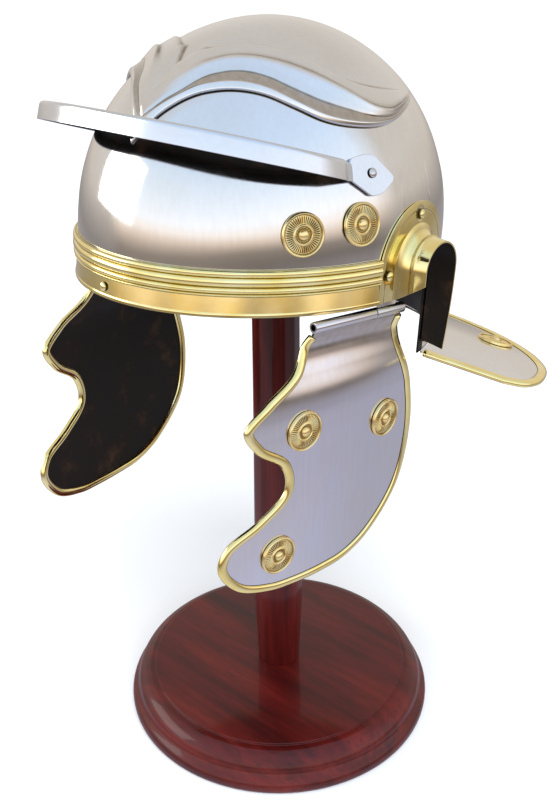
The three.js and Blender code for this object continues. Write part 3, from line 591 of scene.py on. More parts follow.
def bowl_edge(azimuth):
    """The height of the bowl's lower edge: the rim, the nape, or the arch of an ear notch."""
    y = on_bowl(azimuth, 0.0)[..., 1]
    across = np.abs(y - EAR_Y)
    arch = EAR_SPRING_Z + np.sqrt(np.maximum(EAR_MOUTH_RADIUS**2 - across**2, 0))
    plain = np.where(y < EAR_Y, 0.0, -nape_drop(azimuth))
    return np.where(across <= EAR_MOUTH_RADIUS + 1e-7, arch, plain)


def under_hood(azimuth, height):
    """Whether an ear guard's hood covers this part of the bowl."""
    along = on_bowl(azimuth, np.minimum(height, 0.0))[..., 1] - EAR_Y
    return np.hypot(along, np.maximum(height - EAR_SPRING_Z, 0)) < EAR_SKIRT_RADIUS


def bowl():
    azimuth = bowl_columns()
    lines, strength = eyebrow_heights(azimuth)
    edge = bowl_edge(azimuth)
    section = stretched(np.array(EYEBROW_SECTION)[:, :1], 2)[:, 0]
    first = line_height(lines, section[0])
    last = line_height(lines, section[-1])
    plain = np.zeros_like(edge)
    rows = []
    for share in np.linspace(0, 1, WALL_ROWS, endpoint=False):
        rows.append((mix(edge, first, share), plain, plain))
    for line in section:
        shade = eyebrow_tarnish(azimuth, line, strength)
        rows.append((line_height(lines, line), eyebrow_relief(line, strength), shade))
    for share in np.linspace(0, 1, CROWN_ROWS + 1)[1:]:
        rows.append((mix(BOWL_TOP, last, (1 - share) ** 2), plain, plain))
    outer = [on_bowl(azimuth, height, relief + dents(azimuth, height)) for height, relief, _ in rows]
    heights = [mix(edge, BOWL_TOP, 1 - (1 - share) ** 1.6) for share in np.linspace(0, 1, INNER_ROWS)]
    inner = [on_bowl(azimuth, height, -BOWL_WALL) for height in heights]
    middle = on_bowl(azimuth, edge, -BOWL_WALL / 2) - np.array([0, 0, BOWL_WALL / 4])
    rings = np.array([*outer[::-1], middle, *inner])
    points, quads, _ = loft(rings, ends=False)
    inside = np.ones((len(rings) - 1, len(azimuth)), bool)
    inside[:len(outer)] = under_hood(azimuth, np.array([height for height, _, _ in rows[::-1]]))
    tarnish = np.zeros(rings.shape[:2])
    tarnish[:len(outer)] = [dark for _, _, dark in rows[::-1]]
    solid = on_helmet((points, quads, inside.ravel()))
    add_piece("bowl", [solid], [STEEL_BOWL, DARK_PAINT], tarnish=tarnish)


# Brow band: a line of ribs above a flat strip and a rolled lip. Each rib is its middle and half width as
# shares of the band's height, and its height as a share of the rib size.
BAND_RIBS = [
    [0.925, 0.072, 0.95],
    [0.75, 0.096, 1.0],
    [0.575, 0.062, 0.92],
    [0.475, 0.022, 0.72],
    [0.035, 0.05, 0.72],
]
BAND_FLAT = 0.46
BAND_GROOVE = 0.4
BAND_STEP = 0.44
BAND_LINES = (0.0, 0.445)
BAND_LINE_WIDTH = 0.012
BAND_END_Y = EAR_Y - EAR_FLANGE_RADIUS - SEAT_GAP


def brow_band():
    up = np.linspace(0, 1, BAND_ROWS)
    ribbed = up > BAND_STEP
    ground = np.where(ribbed, BAND_GROOVE, BAND_FLAT)
    end = float(azimuth_at(BAND_END_Y, 0.0))
    azimuth = np.linspace(-end, end, BAND_STATIONS)[:, None]
    uneven = np.sin(5 * azimuth + 1) + 0.7 * np.sin(13 * azimuth) + 0.5 * np.sin(29 * azimuth + 2)
    lean = mix(BAND_LEAN, BAND_LEAN_SIDE, np.sin(azimuth) ** 2)
    lean = lean * (1 + 0.16 * uneven) * BAND_HEIGHT / BAND_RIB
    ground = ground + np.where(ribbed, 0, lean * (0.25 - up))
    proud = ground
    tarnish = np.where(ribbed, 0.75, 0) * np.ones_like(azimuth)
    for middle, half, height in BAND_RIBS:
        arch = np.sqrt(np.maximum(1 - ((up - middle) / half) ** 2, 0))
        proud = np.maximum(proud, ground + (height - ground) * arch)
        tarnish = tarnish * (1 - smooth_step(0.05, 0.35, arch))
    for line in BAND_LINES:
        tarnish = np.maximum(tarnish, 0.8 * np.exp(-(((up - line) / BAND_LINE_WIDTH) ** 2)))
    wave = 1 + 0.03 * np.sin(23 * azimuth) * np.sin(9 * azimuth + 1)
    outer = on_bowl(azimuth, up * BAND_HEIGHT, SEAT_GAP + proud * BAND_RIB * wave)
    inner = on_bowl(azimuth, up * BAND_HEIGHT, SEAT_GAP)
    tarnish = np.concatenate([tarnish, np.zeros_like(tarnish)], axis=1)
    add_piece("brow_band", [on_helmet(sheet(outer, inner))], [BRASS, BRASS], crease=50, tarnish=tarnish)


# Brow guard: a rising peak with a turned-down rim, riveted to the bowl by a tab at each end.

def guard_plane(y):
    return GUARD_HEIGHT + math.tan(GUARD_SLOPE) * (-GUARD_END - y)


def guard_seat(azimuth):
    """Where the guard's plate meets the bowl with its eyebrows."""
    height = GUARD_HEIGHT
    offset = SEAT_GAP
    for _ in range(12):
        offset = SEAT_GAP + relief_at(azimuth, height)
        height = mix(height, float(guard_plane(on_bowl(azimuth, height, offset)[1])), 0.7)
    return on_bowl(azimuth, height, offset)


def guard_station(rim_x, rim_y):
    seat = guard_seat(math.atan2(rim_x, -rim_y))
    seat[2] = guard_plane(seat[1])
    outward = unit(np.array([rim_x - seat[0], rim_y - seat[1], 0]))
    flare = min(GUARD_FLARE, 0.2 * math.hypot(rim_x - seat[0], rim_y - seat[1]))
    top = np.array([rim_x, rim_y, guard_plane(rim_y)]) - outward * flare
    down = np.array([0, 0, -1.0])
    lip = down * GUARD_RIM + outward * flare
    inset = top - outward * GUARD_SHEET
    outer = rounded([seat, top, top + lip], [0, GUARD_BEND, 0], RIM_PIECES)
    inner = [seat + down * GUARD_SHEET, inset + down * GUARD_SHEET, inset + lip]
    inner = rounded(inner, [0, GUARD_BEND - GUARD_SHEET, 0], RIM_PIECES)
    return outer, inner


# The tab's outline, as shares of its length and height about its rivet.
TAB_OUTLINE = [
    [-0.5, -0.12],
    [-0.42, 0.42],
    [-0.1, 0.5],
    [0.12, 0.46],
    [0.5, -0.14],
    [0.46, -0.28],
    [0.16, -0.56],
    [-0.08, -0.6],
]
TAB_LIFT = 2 * SEAT_GAP


def on_tab(along, up, lift):
    """A point of the flat tab's plane, which touches the bowl at the rivet."""
    centre = on_side(TAB_RIVET_Y, TAB_RIVET_Z, lift)
    normal = side_normal(TAB_RIVET_Y, TAB_RIVET_Z)
    across = -(normal[1] * along + normal[2] * up) / normal[0]
    return centre + np.stack([across, along, up], axis=-1)


def guard_tab():
    corners = np.array(TAB_OUTLINE) * [TAB_LENGTH, TAB_HEIGHT]
    closed = np.concatenate([corners[-1:], corners, corners[:1]])
    outline = rounded(closed, [0] + [0.0022] * len(corners) + [0], 5)[1:-1]
    outline = resampled([*outline, outline[0]], TAB_STATIONS + 1)[:-1]
    rings = []
    for lift, shrinks in ((TAB_LIFT, (0, 0.5, 1)), (TAB_LIFT + GUARD_SHEET, (1, 0.5, 0))):
        for shrink in shrinks:
            rings.append(on_tab(outline[:, 0] * shrink, outline[:, 1] * shrink, lift))
    return loft(rings, ends=False)


def brow_guard():
    end = on_tab(-0.4 * TAB_LENGTH, 0.0, TAB_LIFT + GUARD_SHEET)
    turn = np.linspace(0, math.pi, 400)
    across = np.sign(np.cos(turn)) * np.abs(np.cos(turn)) ** (2 / GUARD_POWER)
    forward = np.sin(turn) ** (2 / GUARD_POWER)
    rim = np.stack([GUARD_HALF_WIDTH * across, -mix(GUARD_END, GUARD_REACH, forward)], axis=1)
    path = resampled([end[:2], *rim, end[:2] * [-1, 1]], GUARD_STATIONS)
    outer, inner = zip(*(guard_station(x, y) for x, y in path))
    tab = guard_tab()
    solids = [sheet(outer, inner), tab, mirrored(tab, -1)]
    add_piece("brow_guard", [on_helmet(s) for s in solids], [STEEL_GUARD, DARK_PAINT], bevel=0.0003)


# Ear guard: a flange on the bowl and a flared hood over the ear, with a long leg behind the ear.
EAR_RIVET_RADIUS = (EAR_FLANGE_RADIUS + EAR_ROOT_RADIUS) / 2
EAR_RIVETS = [
    ("ear_rivet_front", EAR_Y - EAR_RIVET_RADIUS, EAR_SPRING_Z - 0.0024),
    ("ear_rivet_top", EAR_Y, EAR_SPRING_Z + EAR_RIVET_RADIUS),
    ("ear_rivet_back", EAR_Y + EAR_RIVET_RADIUS, EAR_SPRING_Z - 0.0024),
]
EAR_DIMPLE = 0.0052

# Across the hood, from its skirt to its mouth: shares of the way from the tube's radius to the skirt's,
# and of the way out from the bowl. Two thin beads ring the tube's root.
HOOD_SECTION = [
    [0.62, 0.05],
    [0.30, 0.14],
    [0.12, 0.24],
    [0.06, 0.30],
    [0.05, 0.33],
    [0.14, 0.35],
    [0.14, 0.375],
    [0.04, 0.395],
    [0.04, 0.41],
    [0.14, 0.43],
    [0.14, 0.455],
    [0.03, 0.475],
    [0.0, 0.50],
]

# Dark lines along the hood: the share of the way out, and the tarnish.
HOOD_CREASES = [
    [0, 0],
    [0.04, 0.5],
    [0.09, 0],
    [0.32, 0],
    [0.36, 0.6],
    [0.40, 0.1],
    [0.44, 0.5],
    [0.48, 0.1],
    [0.53, 0],
]


def ear_section(sheet_in):
    """Rows of the arch's radius and how far out it stands from bowl to mouth."""
    hood = np.array(HOOD_SECTION)
    if sheet_in:
        plain = np.interp(hood[:, 1], [0.3, 0.5], [0.06, 0])
        hood[:, 0] = np.minimum.accumulate(np.minimum(hood[:, 0], plain))
    radius = mix(EAR_TUBE_RADIUS, EAR_SKIRT_RADIUS, hood[:, :1]) - sheet_in
    middle = np.concatenate([radius, hood[:, 1:] * EAR_STAND], axis=1)
    flat = np.linspace(EAR_FLANGE_RADIUS, EAR_SKIRT_RADIUS - sheet_in, FLANGE_ROWS)
    flange = np.stack([flat, np.zeros(FLANGE_ROWS)], axis=1)
    mouth = np.array([[EAR_MOUTH_RADIUS - sheet_in, EAR_STAND]])
    tube = mix(middle[-1], mouth, np.linspace(0, 1, 9)[1:, None])
    return np.concatenate([flange, middle, tube])


def flange_face(radius, y, z, out):
    """How thick the ear guard's sheet is, and its tarnish.

    Its border stands proud of its field, and its rivets sit in dimples.
    """
    field = 1 - smooth_step(EAR_FLANGE_RADIUS - EAR_BORDER - 0.0007, EAR_FLANGE_RADIUS - EAR_BORDER, radius)
    flat = 1 - smooth_step(0, 0.05, out)
    depth = EAR_RECESS * field * flat
    tarnish = 3.2 * field * (1 - field) * flat
    for _, rivet_y, rivet_z in EAR_RIVETS:
        reach = np.hypot(y - rivet_y, z - rivet_z)
        dish = 1 - smooth_step(0.75 * EAR_DIMPLE, EAR_DIMPLE, reach)
        depth = np.maximum(depth, np.where(out == 0, depth * 0.5 + EAR_RECESS * dish, 0))
        rim = 2.6 * dish * (1 - dish) + 0.9 * (1 - smooth_step(RIVET_RADIUS, 1.25 * RIVET_RADIUS, reach))
        tarnish = np.maximum(tarnish, np.where(out == 0, rim, 0))
    crease = np.array(HOOD_CREASES)
    return EAR_SHEET - depth, np.maximum(tarnish, np.interp(out, crease[:, 0], crease[:, 1]))


def ear_path(section, inside):
    radius = section[:, 0]
    out = section[:, 1] / EAR_STAND
    leg = np.interp(-radius, [-EAR_FLANGE_RADIUS, -EAR_ROOT_RADIUS, -EAR_MOUTH_RADIUS], [0.8, 1, 0.9])
    stations = []
    for rise in np.linspace(0, 1, FRONT_LEG_STEPS, endpoint=False):
        stations.append((EAR_Y - radius, mix(EAR_MOUTH_FRONT_Z * out, EAR_SPRING_Z, rise)))
    for turn in np.linspace(0, math.pi, ARCH_STEPS + 1):
        stations.append((EAR_Y - radius * math.cos(turn), EAR_SPRING_Z + radius * math.sin(turn)))
    for down in np.linspace(0, 1, LEG_STEPS + 1)[1:]:
        lean = EAR_LEG_LEAN * out * down**2
        stations.append((EAR_Y + radius - lean, mix(EAR_SPRING_Z, -EAR_LEG_DROP * leg, down)))
    skin = []
    shades = []
    for y, z in stations:
        lift, shade = (0, np.zeros_like(radius)) if inside else flange_face(radius, y, z, out)
        shades.append(shade)
        place = on_side(y, z, SEAT_GAP + lift)
        free = np.minimum(out * 8, 1)
        x = mix(place[:, 0], BOWL_HALF_WIDTH + EAR_STAND, out)
        skin.append(np.stack([x, mix(place[:, 1], y, free), mix(place[:, 2], z, free)], axis=-1))
    return np.array(skin), np.array(shades)


def ear_guard():
    outer, tarnish = ear_path(ear_section(0.0), False)
    inner, clean = ear_path(ear_section(EAR_SHEET), True)
    tarnish = np.concatenate([tarnish, clean], axis=1)
    add_pair("ear_guard", [sheet(outer, inner)], [BRASS, DARK_PAINT], bevel=0.0002, tarnish=tarnish)


# Neck guard: a sheet that slopes down and out from the nape. Its outline runs from the front corner to
# the back, as shares of its half width and its reach.
NECK_OUTLINE = [
    [0.93, 0.275],
    [0.985, 0.325],
    [1, 0.4],
    [0.985, 0.48],
    [0.93, 0.6],
    [0.8, 0.735],
    [0.62, 0.845],
    [0.4, 0.93],
    [0.2, 0.98],
    [0, 1],
]
NECK_FRONT_Y = EAR_Y + EAR_MOUTH_RADIUS + SEAT_GAP
SLOPE_STEP = 0.0005


def neck_height(x, y):
    reach = np.hypot(x, y)
    share = np.hypot(x / BOWL_HALF_WIDTH, y / BOWL_BACK)
    distance = reach * (1 - 1 / share)
    azimuth = np.arccos(np.clip(-y / BOWL_BACK / share, -1, 1))
    back_share = np.clip(y / reach, 0, 1) ** 2
    return -nape_drop(azimuth) - distance * np.tan(mix(NECK_SLOPE_SIDE, NECK_SLOPE_BACK, back_share))


def on_neck(x, y, offset=0.0):
    across = (neck_height(x + SLOPE_STEP, y) - neck_height(x - SLOPE_STEP, y)) / (2 * SLOPE_STEP)
    along = (neck_height(x, y + SLOPE_STEP) - neck_height(x, y - SLOPE_STEP)) / (2 * SLOPE_STEP)
    normal = unit(np.stack([-across, -along, np.ones_like(across)], axis=-1))
    return np.stack([x, y, neck_height(x, y)], axis=-1) + normal * np.asarray(offset)[..., None], normal


def path_tangents(path):
    return unit(np.gradient(path, axis=0))


def edge_rings(path, normals, profile):
    """Rings that follow an edge. The profile's rows are how far in from it and how far off the sheet."""
    inward = unit(np.cross(normals, path_tangents(path)))
    profile = np.asarray(profile)
    return path[:, None] + inward[:, None] * profile[:, :1] + normals[:, None] * profile[:, 1:]


def sheet_inset(sheet_size):
    """How far in from the trim's edge the sheet ends."""
    return TRIM_FLOOR + (sheet_size / 2 + SLOT_GAP) * 0.6 + 2 * SLOT_GAP


def trim_profile(width, sheet_size):
    """A rolled strip round the edge of a sheet: a full half-round outside and a slot inside."""
    slot = sheet_size / 2 + SLOT_GAP / 2
    crest = sheet_size / 2 + SLOT_GAP + TRIM_SHEET + TRIM_BEAD
    turn = np.linspace(0, math.pi, TRIM_STEPS)
    inset = width * (1 + np.cos(turn)) / 2
    lift = np.maximum(crest * np.sin(turn) ** 0.8, slot * np.linspace(1, 0, TRIM_STEPS))
    outer = np.stack([inset, lift], axis=1)
    under = outer[-2::-1] * [1, -1]
    wall = 0.98 * slot
    bend = TRIM_FLOOR + slot
    inside = [[width, -wall], [bend, -wall], [TRIM_FLOOR, 0], [bend, wall], [width, wall]]
    return np.concatenate([outer, under, inside])


def neck_edge():
    half = np.array(NECK_OUTLINE) * [NECK_HALF_WIDTH, NECK_REACH]
    outline = curve_through([*half, *(half[-2::-1] * [-1, 1])], EDGE_STATIONS)
    start = on_side(NECK_FRONT_Y, -NAPE_DROP_SIDE, NECK_TRIM_WIDTH / 2)[:2]
    front = mix(start, outline[0], np.linspace(0, 1, NECK_FRONT_STATIONS, endpoint=False)[:, None])
    other = front[::-1] * [-1, 1]
    flat = np.concatenate([front, outline, other])
    return on_neck(flat[:, 0], flat[:, 1]), len(front)


def neck_guard():
    (path, normals), front = neck_edge()
    add_trim("neck_trim", path, normals, NECK_TRIM_WIDTH, NECK_SHEET, 1)
    edge = edge_rings(path, normals, [[sheet_inset(NECK_SHEET), 0]])[:, 0][front:-front]
    corner = float(azimuth_at(NECK_FRONT_Y + sheet_inset(NECK_SHEET), 0.0))
    azimuth = np.linspace(corner, 2 * math.pi - corner, len(edge))
    root = on_bowl(azimuth, -nape_drop(azimuth), SEAT_GAP)
    share = np.linspace(0, 1, NECK_ROWS)
    x = mix(root[:, :1], edge[:, :1], share)
    y = mix(root[:, 1:2], edge[:, 1:2], share)
    wave = 0.00018 * np.sin(46 * x) * np.sin(52 * y) * (share * (1 - share) * 4)
    upper, _ = on_neck(x, y, NECK_SHEET / 2 + wave)
    lower, _ = on_neck(x, y, -NECK_SHEET / 2 + wave)
    add_piece("neck_guard", [on_helmet(sheet(upper, lower))], [STEEL_BOWL, DARK_PAINT])


def add_trim(name, path, normals, width, sheet_size, sign):
    """A rolled strip along an edge, with dark tarnish in its lips and closed ends."""
    rings = edge_rings(path, normals, trim_profile(width, sheet_size))
    solid = on_helmet(mirrored(loft(rings, ends=False), sign))
    lips = np.zeros(rings.shape[1])
    lips[[0, 1, -5, -1]] = 1
    node = add_piece(name, [solid], [BRASS], tarnish=np.tile(lips, len(rings)))
    work = bmesh.new()
    work.from_mesh(node.data)
    bmesh.ops.holes_fill(work, edges=[edge for edge in work.edges if edge.is_boundary])
    bmesh.ops.recalc_face_normals(work, faces=work.faces)
    work.to_mesh(node.data)
    work.free()
    return node


# Cheek guards, drawn for the +X side. Rows of the front and back edges: how far forward, as a share of
# the width, and how far down, as a share of the drop.
CHEEK_FRONT_EDGE = [
    [0.628, 0.03],
    [0.685, 0.142],
    [0.828, 0.227],
    [0.925, 0.312],
    [0.867, 0.403],
    [0.744, 0.488],
    [0.721, 0.585],
    [0.828, 0.673],
    [0.968, 0.748],
    [0.995, 0.833],
    [0.906, 0.942],
    [0.756, 0.991],
    [0.64, 1],
]
CHEEK_BACK_EDGE = [
    [0.153, 0.03],
    [0.127, 0.142],
    [0.055, 0.3],
    [0.003, 0.518],
    [0.042, 0.748],
    [0.205, 0.918],
    [0.347, 0.982],
    [0.484, 0.998],
]


# The plate's shallow neck under the hinge and the swell below it: how far down, and how far out.
CHEEK_NECK = [
    [0, 0],
    [0.005, -0.0014],
    [0.012, -0.0042],
    [0.018, -0.0038],
    [0.028, -0.0014],
    [0.038, 0.0009],
    [0.048, 0.0015],
    [0.060, 0.0012],
    [0.080, 0.0005],
    [0.110, 0],
    [0.165, 0],
]


def hinge_x(y):
    return mix(HINGE_FRONT[0], HINGE_BACK[0], (y - HINGE_FRONT[1]) / (HINGE_BACK[1] - HINGE_FRONT[1]))


def cheek_x(y, z):
    along = y - CHEEK_MIDDLE_Y
    up = z + HINGE_DROP + CHEEK_MIDDLE_DROP
    bow = along**2 / (2 * CHEEK_BOW_RADIUS) + up**2 / (2 * CHEEK_DRAPE_RADIUS)
    free = BOWL_HALF_WIDTH - CHEEK_INSET + CHEEK_TOE * along + CHEEK_LEAN * up - bow
    down = -HINGE_DROP - z
    table = np.array(CHEEK_NECK)
    neck = smooth_rows(np.asarray(down), table[:, 0], table[:, 1:])[..., 0]
    return mix(hinge_x(y), free, smooth_step(0, 1.15 * CHEEK_BLEND, down)) + neck


def on_cheek(y, z, offset=0.0):
    along = (cheek_x(y + SLOPE_STEP, z) - cheek_x(y - SLOPE_STEP, z)) / (2 * SLOPE_STEP)
    up = (cheek_x(y, z + SLOPE_STEP) - cheek_x(y, z - SLOPE_STEP)) / (2 * SLOPE_STEP)
    normal = unit(np.stack([np.ones_like(along), -along, -up], axis=-1))
    return np.stack([cheek_x(y, z), y, z], axis=-1) + normal * np.asarray(offset)[..., None], normal


def cheek_edge():
    """The cheek guard's edge from the hinge down its front and up its back."""
    rows = np.array([*CHEEK_FRONT_EDGE, *CHEEK_BACK_EDGE[::-1]])
    flat = np.stack([CHEEK_BACK - rows[:, 0] * CHEEK_WIDTH, -HINGE_DROP - rows[:, 1] * CHEEK_DROP], axis=1)
    return curve_through(flat, 2 * EDGE_STATIONS)


def cheek_grid(front, back):
    """A piece of the plate between rows of points of its front and of its back edge."""
    share = np.linspace(0, 1, CHEEK_COLUMNS)
    y = mix(front[:, :1], back[:, :1], share)
    z = mix(front[:, 1:], back[:, 1:], share)
    return sheet(on_cheek(y, z, CHEEK_SHEET / 2)[0], on_cheek(y, z, -CHEEK_SHEET / 2)[0])


def cheek_tarnish(points):
    """Brown painted shade just under the hinge, which fades out lower down."""
    return np.interp(-HINGE_DROP - points[:, 2], [0.003, 0.012, 0.022], [0.6, 0.5, 0])


def knuckle(start, end):
    """A rolled tube on the hinge's line, from one share of its length to another."""
    bore = PIN_RADIUS + PIN_GAP
    length = (end - start) * HINGE_LENGTH
    soft = 0.0005
    wall = rounded([[bore, 0], [KNUCKLE_RADIUS, 0], [KNUCKLE_RADIUS, length], [bore, length], [bore, 0]],
                   [0, soft, soft, soft, 0], 3)
    return stood_on(turned(wall, KNUCKLE_SIDES), mix(HINGE_FRONT, HINGE_BACK, start), HINGE_DIRECTION)


def cheek_plate():
    flat = cheek_edge()
    path, normals = on_cheek(flat[:, 0], flat[:, 1])
    for side, sign in SIDES:
        add_trim(f"cheek_trim_{side}", path, normals, CHEEK_TRIM_WIDTH, CHEEK_SHEET, sign)
    edge = edge_rings(path, normals, [[sheet_inset(CHEEK_SHEET), 0]])[:, 0, 1:]
    half = len(edge) // 2
    grip = (PIN_RADIUS + PIN_GAP + KNUCKLE_RADIUS) / 2
    webs = []
    below = KNUCKLE_RADIUS + KNUCKLE_GAP
    join = KNUCKLE_SPLIT - WEB_SETBACK
    for start, end, top in ((WEB_SETBACK, join, grip), (join, 1, below)):
        z = np.linspace(-HINGE_DROP - top, -HINGE_DROP - WEB_FOOT * CHEEK_DROP, WEB_ROWS)
        ends = [mix(HINGE_FRONT[1], HINGE_BACK[1], share) for share in (start, end)]
        webs.append(cheek_grid(*(np.stack([np.full_like(z, y), z], axis=1) for y in ends)))
    solids = [cheek_grid(edge[:half], edge[:half - 1:-1]), *webs, knuckle(0, KNUCKLE_SPLIT)]
    # Painted shade: the knuckle's bore is black, so its open end reads as a dark hole.
    bore = np.repeat([1, 0, 0, 0, 0, 0, 0, 0, 0, 0, 0, 0, 1, 1], KNUCKLE_SIDES)
    tarnish = [*(cheek_tarnish(points) for points, _, _ in solids[:-1]), bore]
    add_pair("cheek_plate", solids, [STEEL_CHEEK, DARK_PAINT], tarnish=np.concatenate(tarnish))


def hinge_leaf():
    """The fixed half of a hinge: a knuckle on a leaf that lies inside the bowl's wall."""
    split = KNUCKLE_SPLIT + KNUCKLE_GAP / HINGE_LENGTH
    near = mix(HINGE_FRONT[1], HINGE_BACK[1], split + WEB_SETBACK)
    far = min(HINGE_BACK[1], EAR_Y - EAR_MOUTH_RADIUS) - LEAF_SHEET
    outside = -BOWL_WALL - 2 * SEAT_GAP
    foot = -HINGE_DROP + (PIN_RADIUS + PIN_GAP + KNUCKLE_RADIUS) / 2
    outer, inner = [], []
    for y in np.linspace(near, far, LEAF_ROWS):
        for skin, offset, shift in ((outer, outside, 0.5), (inner, outside - LEAF_SHEET, -0.5)):
            corners = [on_side(y, LEAF_HEIGHT, offset), on_side(y, 0.0, offset),
                       np.array([hinge_x(y) + shift * LEAF_SHEET, y, foot])]
            skin.append(rounded(corners, [0, 0.0015, 0]))
    add_pair("hinge_leaf", [sheet(outer, inner), knuckle(split, 1)], [STEEL_PLAIN, STEEL_PLAIN])


def hinge_pin():
    length = HINGE_LENGTH - 2 * PIN_SETBACK
    corners = [[0, 0], [PIN_RADIUS, 0], [PIN_RADIUS, length], [0, length]]
    profile = rounded(corners, [0, 0.0006, 0.0006, 0], 4)
    place = HINGE_FRONT + HINGE_DIRECTION * PIN_SETBACK
    solid = stood_on(turned(profile, RIVET_SIDES), place, HINGE_DIRECTION)
    # Painted shade: the pin is black all over, so the knuckle's open end reads as a dark hole.
    add_pair("hinge_pin", [solid], [STEEL_PLAIN], tarnish=np.ones(len(solid[0])))


# Rosette: shares of its radius and height. Ribs fill the ring between the rim and a plain ring, and a
# boss stands in a beaded dish.
ROSETTE_PROFILE = [
    [0, 0],
    [1, 0],
    [1, 0.32],
    [0.985, 0.47],
    [0.95, 0.56],
    [0.915, 0.53],
    [0.885, 0.40],
    [0.865, 0.25],
    [0.85, 0.22],
    [0.83, 0.26],
    [0.77, 0.32],
    [0.70, 0.345],
    [0.60, 0.375],
    [0.52, 0.40],
    [0.475, 0.41],
    [0.455, 0.43],
    [0.44, 0.50],
    [0.415, 0.54],
    [0.39, 0.49],
    [0.37, 0.34],
    [0.35, 0.24],
    [0.31, 0.22],
    [0.275, 0.24],
    [0.25, 0.42],
    [0.22, 0.66],
    [0.17, 0.86],
    [0.10, 0.97],
    [0, 1],
]
ROSETTE_SIDES = ROSETTE_RIBS * 6


def rosette_grooves(share, angle):
    """How deep the narrow grooves between the ribs are, as a share."""
    ring = smooth_step(0.455, 0.50, share) * (1 - smooth_step(0.80, 0.855, share))
    return ring * (0.5 + 0.5 * np.cos(ROSETTE_RIBS * angle)) ** 1.1


def rosette_wave(radius, height, angle):
    """Ribs and beads pressed into the disc."""
    share = radius / ROSETTE_RADIUS
    beads = smooth_step(0.275, 0.30, share) * (1 - smooth_step(0.33, 0.355, share))
    lift = ROSETTE_BEAD_RISE * beads * (0.5 + 0.5 * np.cos(ROSETTE_BEADS * angle))
    lift = lift - ROSETTE_RIB_DEPTH * rosette_grooves(share, angle)
    return radius, np.where(height > 0, height + lift, height)


def rosette(place, direction):
    profile = np.array(ROSETTE_PROFILE) * [ROSETTE_RADIUS, ROSETTE_HEIGHT]
    return stood_on(turned(profile, ROSETTE_SIDES, rosette_wave), place, direction)


def rosette_tarnish():
    """Dark tarnish between the ribs, inside the rim and round the beads and the boss."""
    share = np.array(ROSETTE_PROFILE)[:, :1]
    angle = np.linspace(0, 2 * math.pi, ROSETTE_SIDES, endpoint=False)
    grooves = smooth_step(0.25, 0.65, rosette_grooves(share, angle))
    rings = np.interp(share, [0.24, 0.27, 0.29, 0.33, 0.36, 0.38], [0, 0.9, 0.5, 0.5, 0.9, 0])
    rings = rings + np.interp(share, [0.835, 0.855, 0.88, 0.90], [0, 0.9, 0.7, 0])
    return np.clip(grooves + rings, 0, 1)


def rivet(place, direction, radius=RIVET_RADIUS, height=RIVET_HEIGHT):
    turn = np.linspace(0, math.pi / 2, 9)
    dome = np.stack([radius * np.cos(turn), height * (0.12 + 0.88 * np.sin(turn))], axis=1)
    profile = [[0, 0], [radius, 0], *dome]
    return stood_on(turned(profile, RIVET_SIDES), place, direction)


RIVET_TARNISH = np.repeat([0, 1, 1, 0.8, 0.1, 0, 0, 0, 0, 0, 0], RIVET_SIDES)


def add_rosettes(name, place, normal):
    for side, sign in SIDES:
        solid = on_helmet(mirrored(rosette(place, normal), sign))
        add_piece(f"{name}_{side}", [solid], [AGED_BRASS], tarnish=rosette_tarnish())


BOWL_ROSETTES = [
    ("bowl_rosette_front", -0.0722, 0.0449),
    ("bowl_rosette_back", -0.0378, 0.0479),
]
TAB_STACK = TAB_LIFT + GUARD_SHEET + SEAT_GAP
FLANGE_STACK = 2 * SEAT_GAP + EAR_SHEET
SIDE_RIVETS = [
    ("brow_rivet", TAB_RIVET_Y, TAB_RIVET_Z, TAB_STACK),
    *((name, y, height, FLANGE_STACK) for name, y, height in EAR_RIVETS),
]
CHEEK_ROSETTES = [
    ("cheek_rosette_front", 0.659, 0.36),
    ("cheek_rosette_back", 0.205, 0.424),
    ("cheek_rosette_low", 0.73, 0.84),
]
BAND_RIVET_AZIMUTH = math.radians(4.4)


def fittings():
    for name, y, height in BOWL_ROSETTES:
        add_rosettes(name, on_side(y, height, SEAT_GAP), side_normal(y, height))
    for name, y, height, stack in SIDE_RIVETS:
        metal = STEEL_PLAIN if name == "brow_rivet" else BRASS
        solid = rivet(on_side(y, height, stack), side_normal(y, height))
        add_pair(name, [solid], [metal], tarnish=RIVET_TARNISH)
    for name, forward, down in CHEEK_ROSETTES:
        y = np.array(CHEEK_BACK - forward * CHEEK_WIDTH)
        z = np.array(-HINGE_DROP - down * CHEEK_DROP)
        add_rosettes(name, *on_cheek(y, z, CHEEK_SHEET / 2 + SEAT_GAP))
    x = np.array(0.64 * NECK_HALF_WIDTH)
    y = np.array(0.7 * NECK_REACH)
    add_rosettes("neck_rosette", *on_neck(x, y, NECK_SHEET / 2 + SEAT_GAP))
    place = on_bowl(-BAND_RIVET_AZIMUTH, 0.245 * BAND_HEIGHT, 2 * SEAT_GAP + 0.5 * BAND_RIB)
    axis = unit(on_bowl(-BAND_RIVET_AZIMUTH, 0.0, 0.001) - on_bowl(-BAND_RIVET_AZIMUTH, 0.0))
    add_piece("band_rivet", [on_helmet(rivet(place, axis))], [BRASS], tarnish=RIVET_TARNISH)


# Stand
BASE_PROFILE = [
    [0, 0],
    [0.985, 0],
    [1, 0.08],
    [1, 0.28],
    [0.968, 0.42],
    [0.955, 0.5],
    [0.95, 0.66],
    [0.915, 0.83],
    [0.868, 0.93],
]
POST_PROFILE = [
    [0, 0.875],
    [0.05, 0.93],
    [0.12, 1],
    [0.28, 0.965],
    [0.55, 0.91],
    [1, 0.893],
]
HEAD_TOP_SHARE = 5 / 6


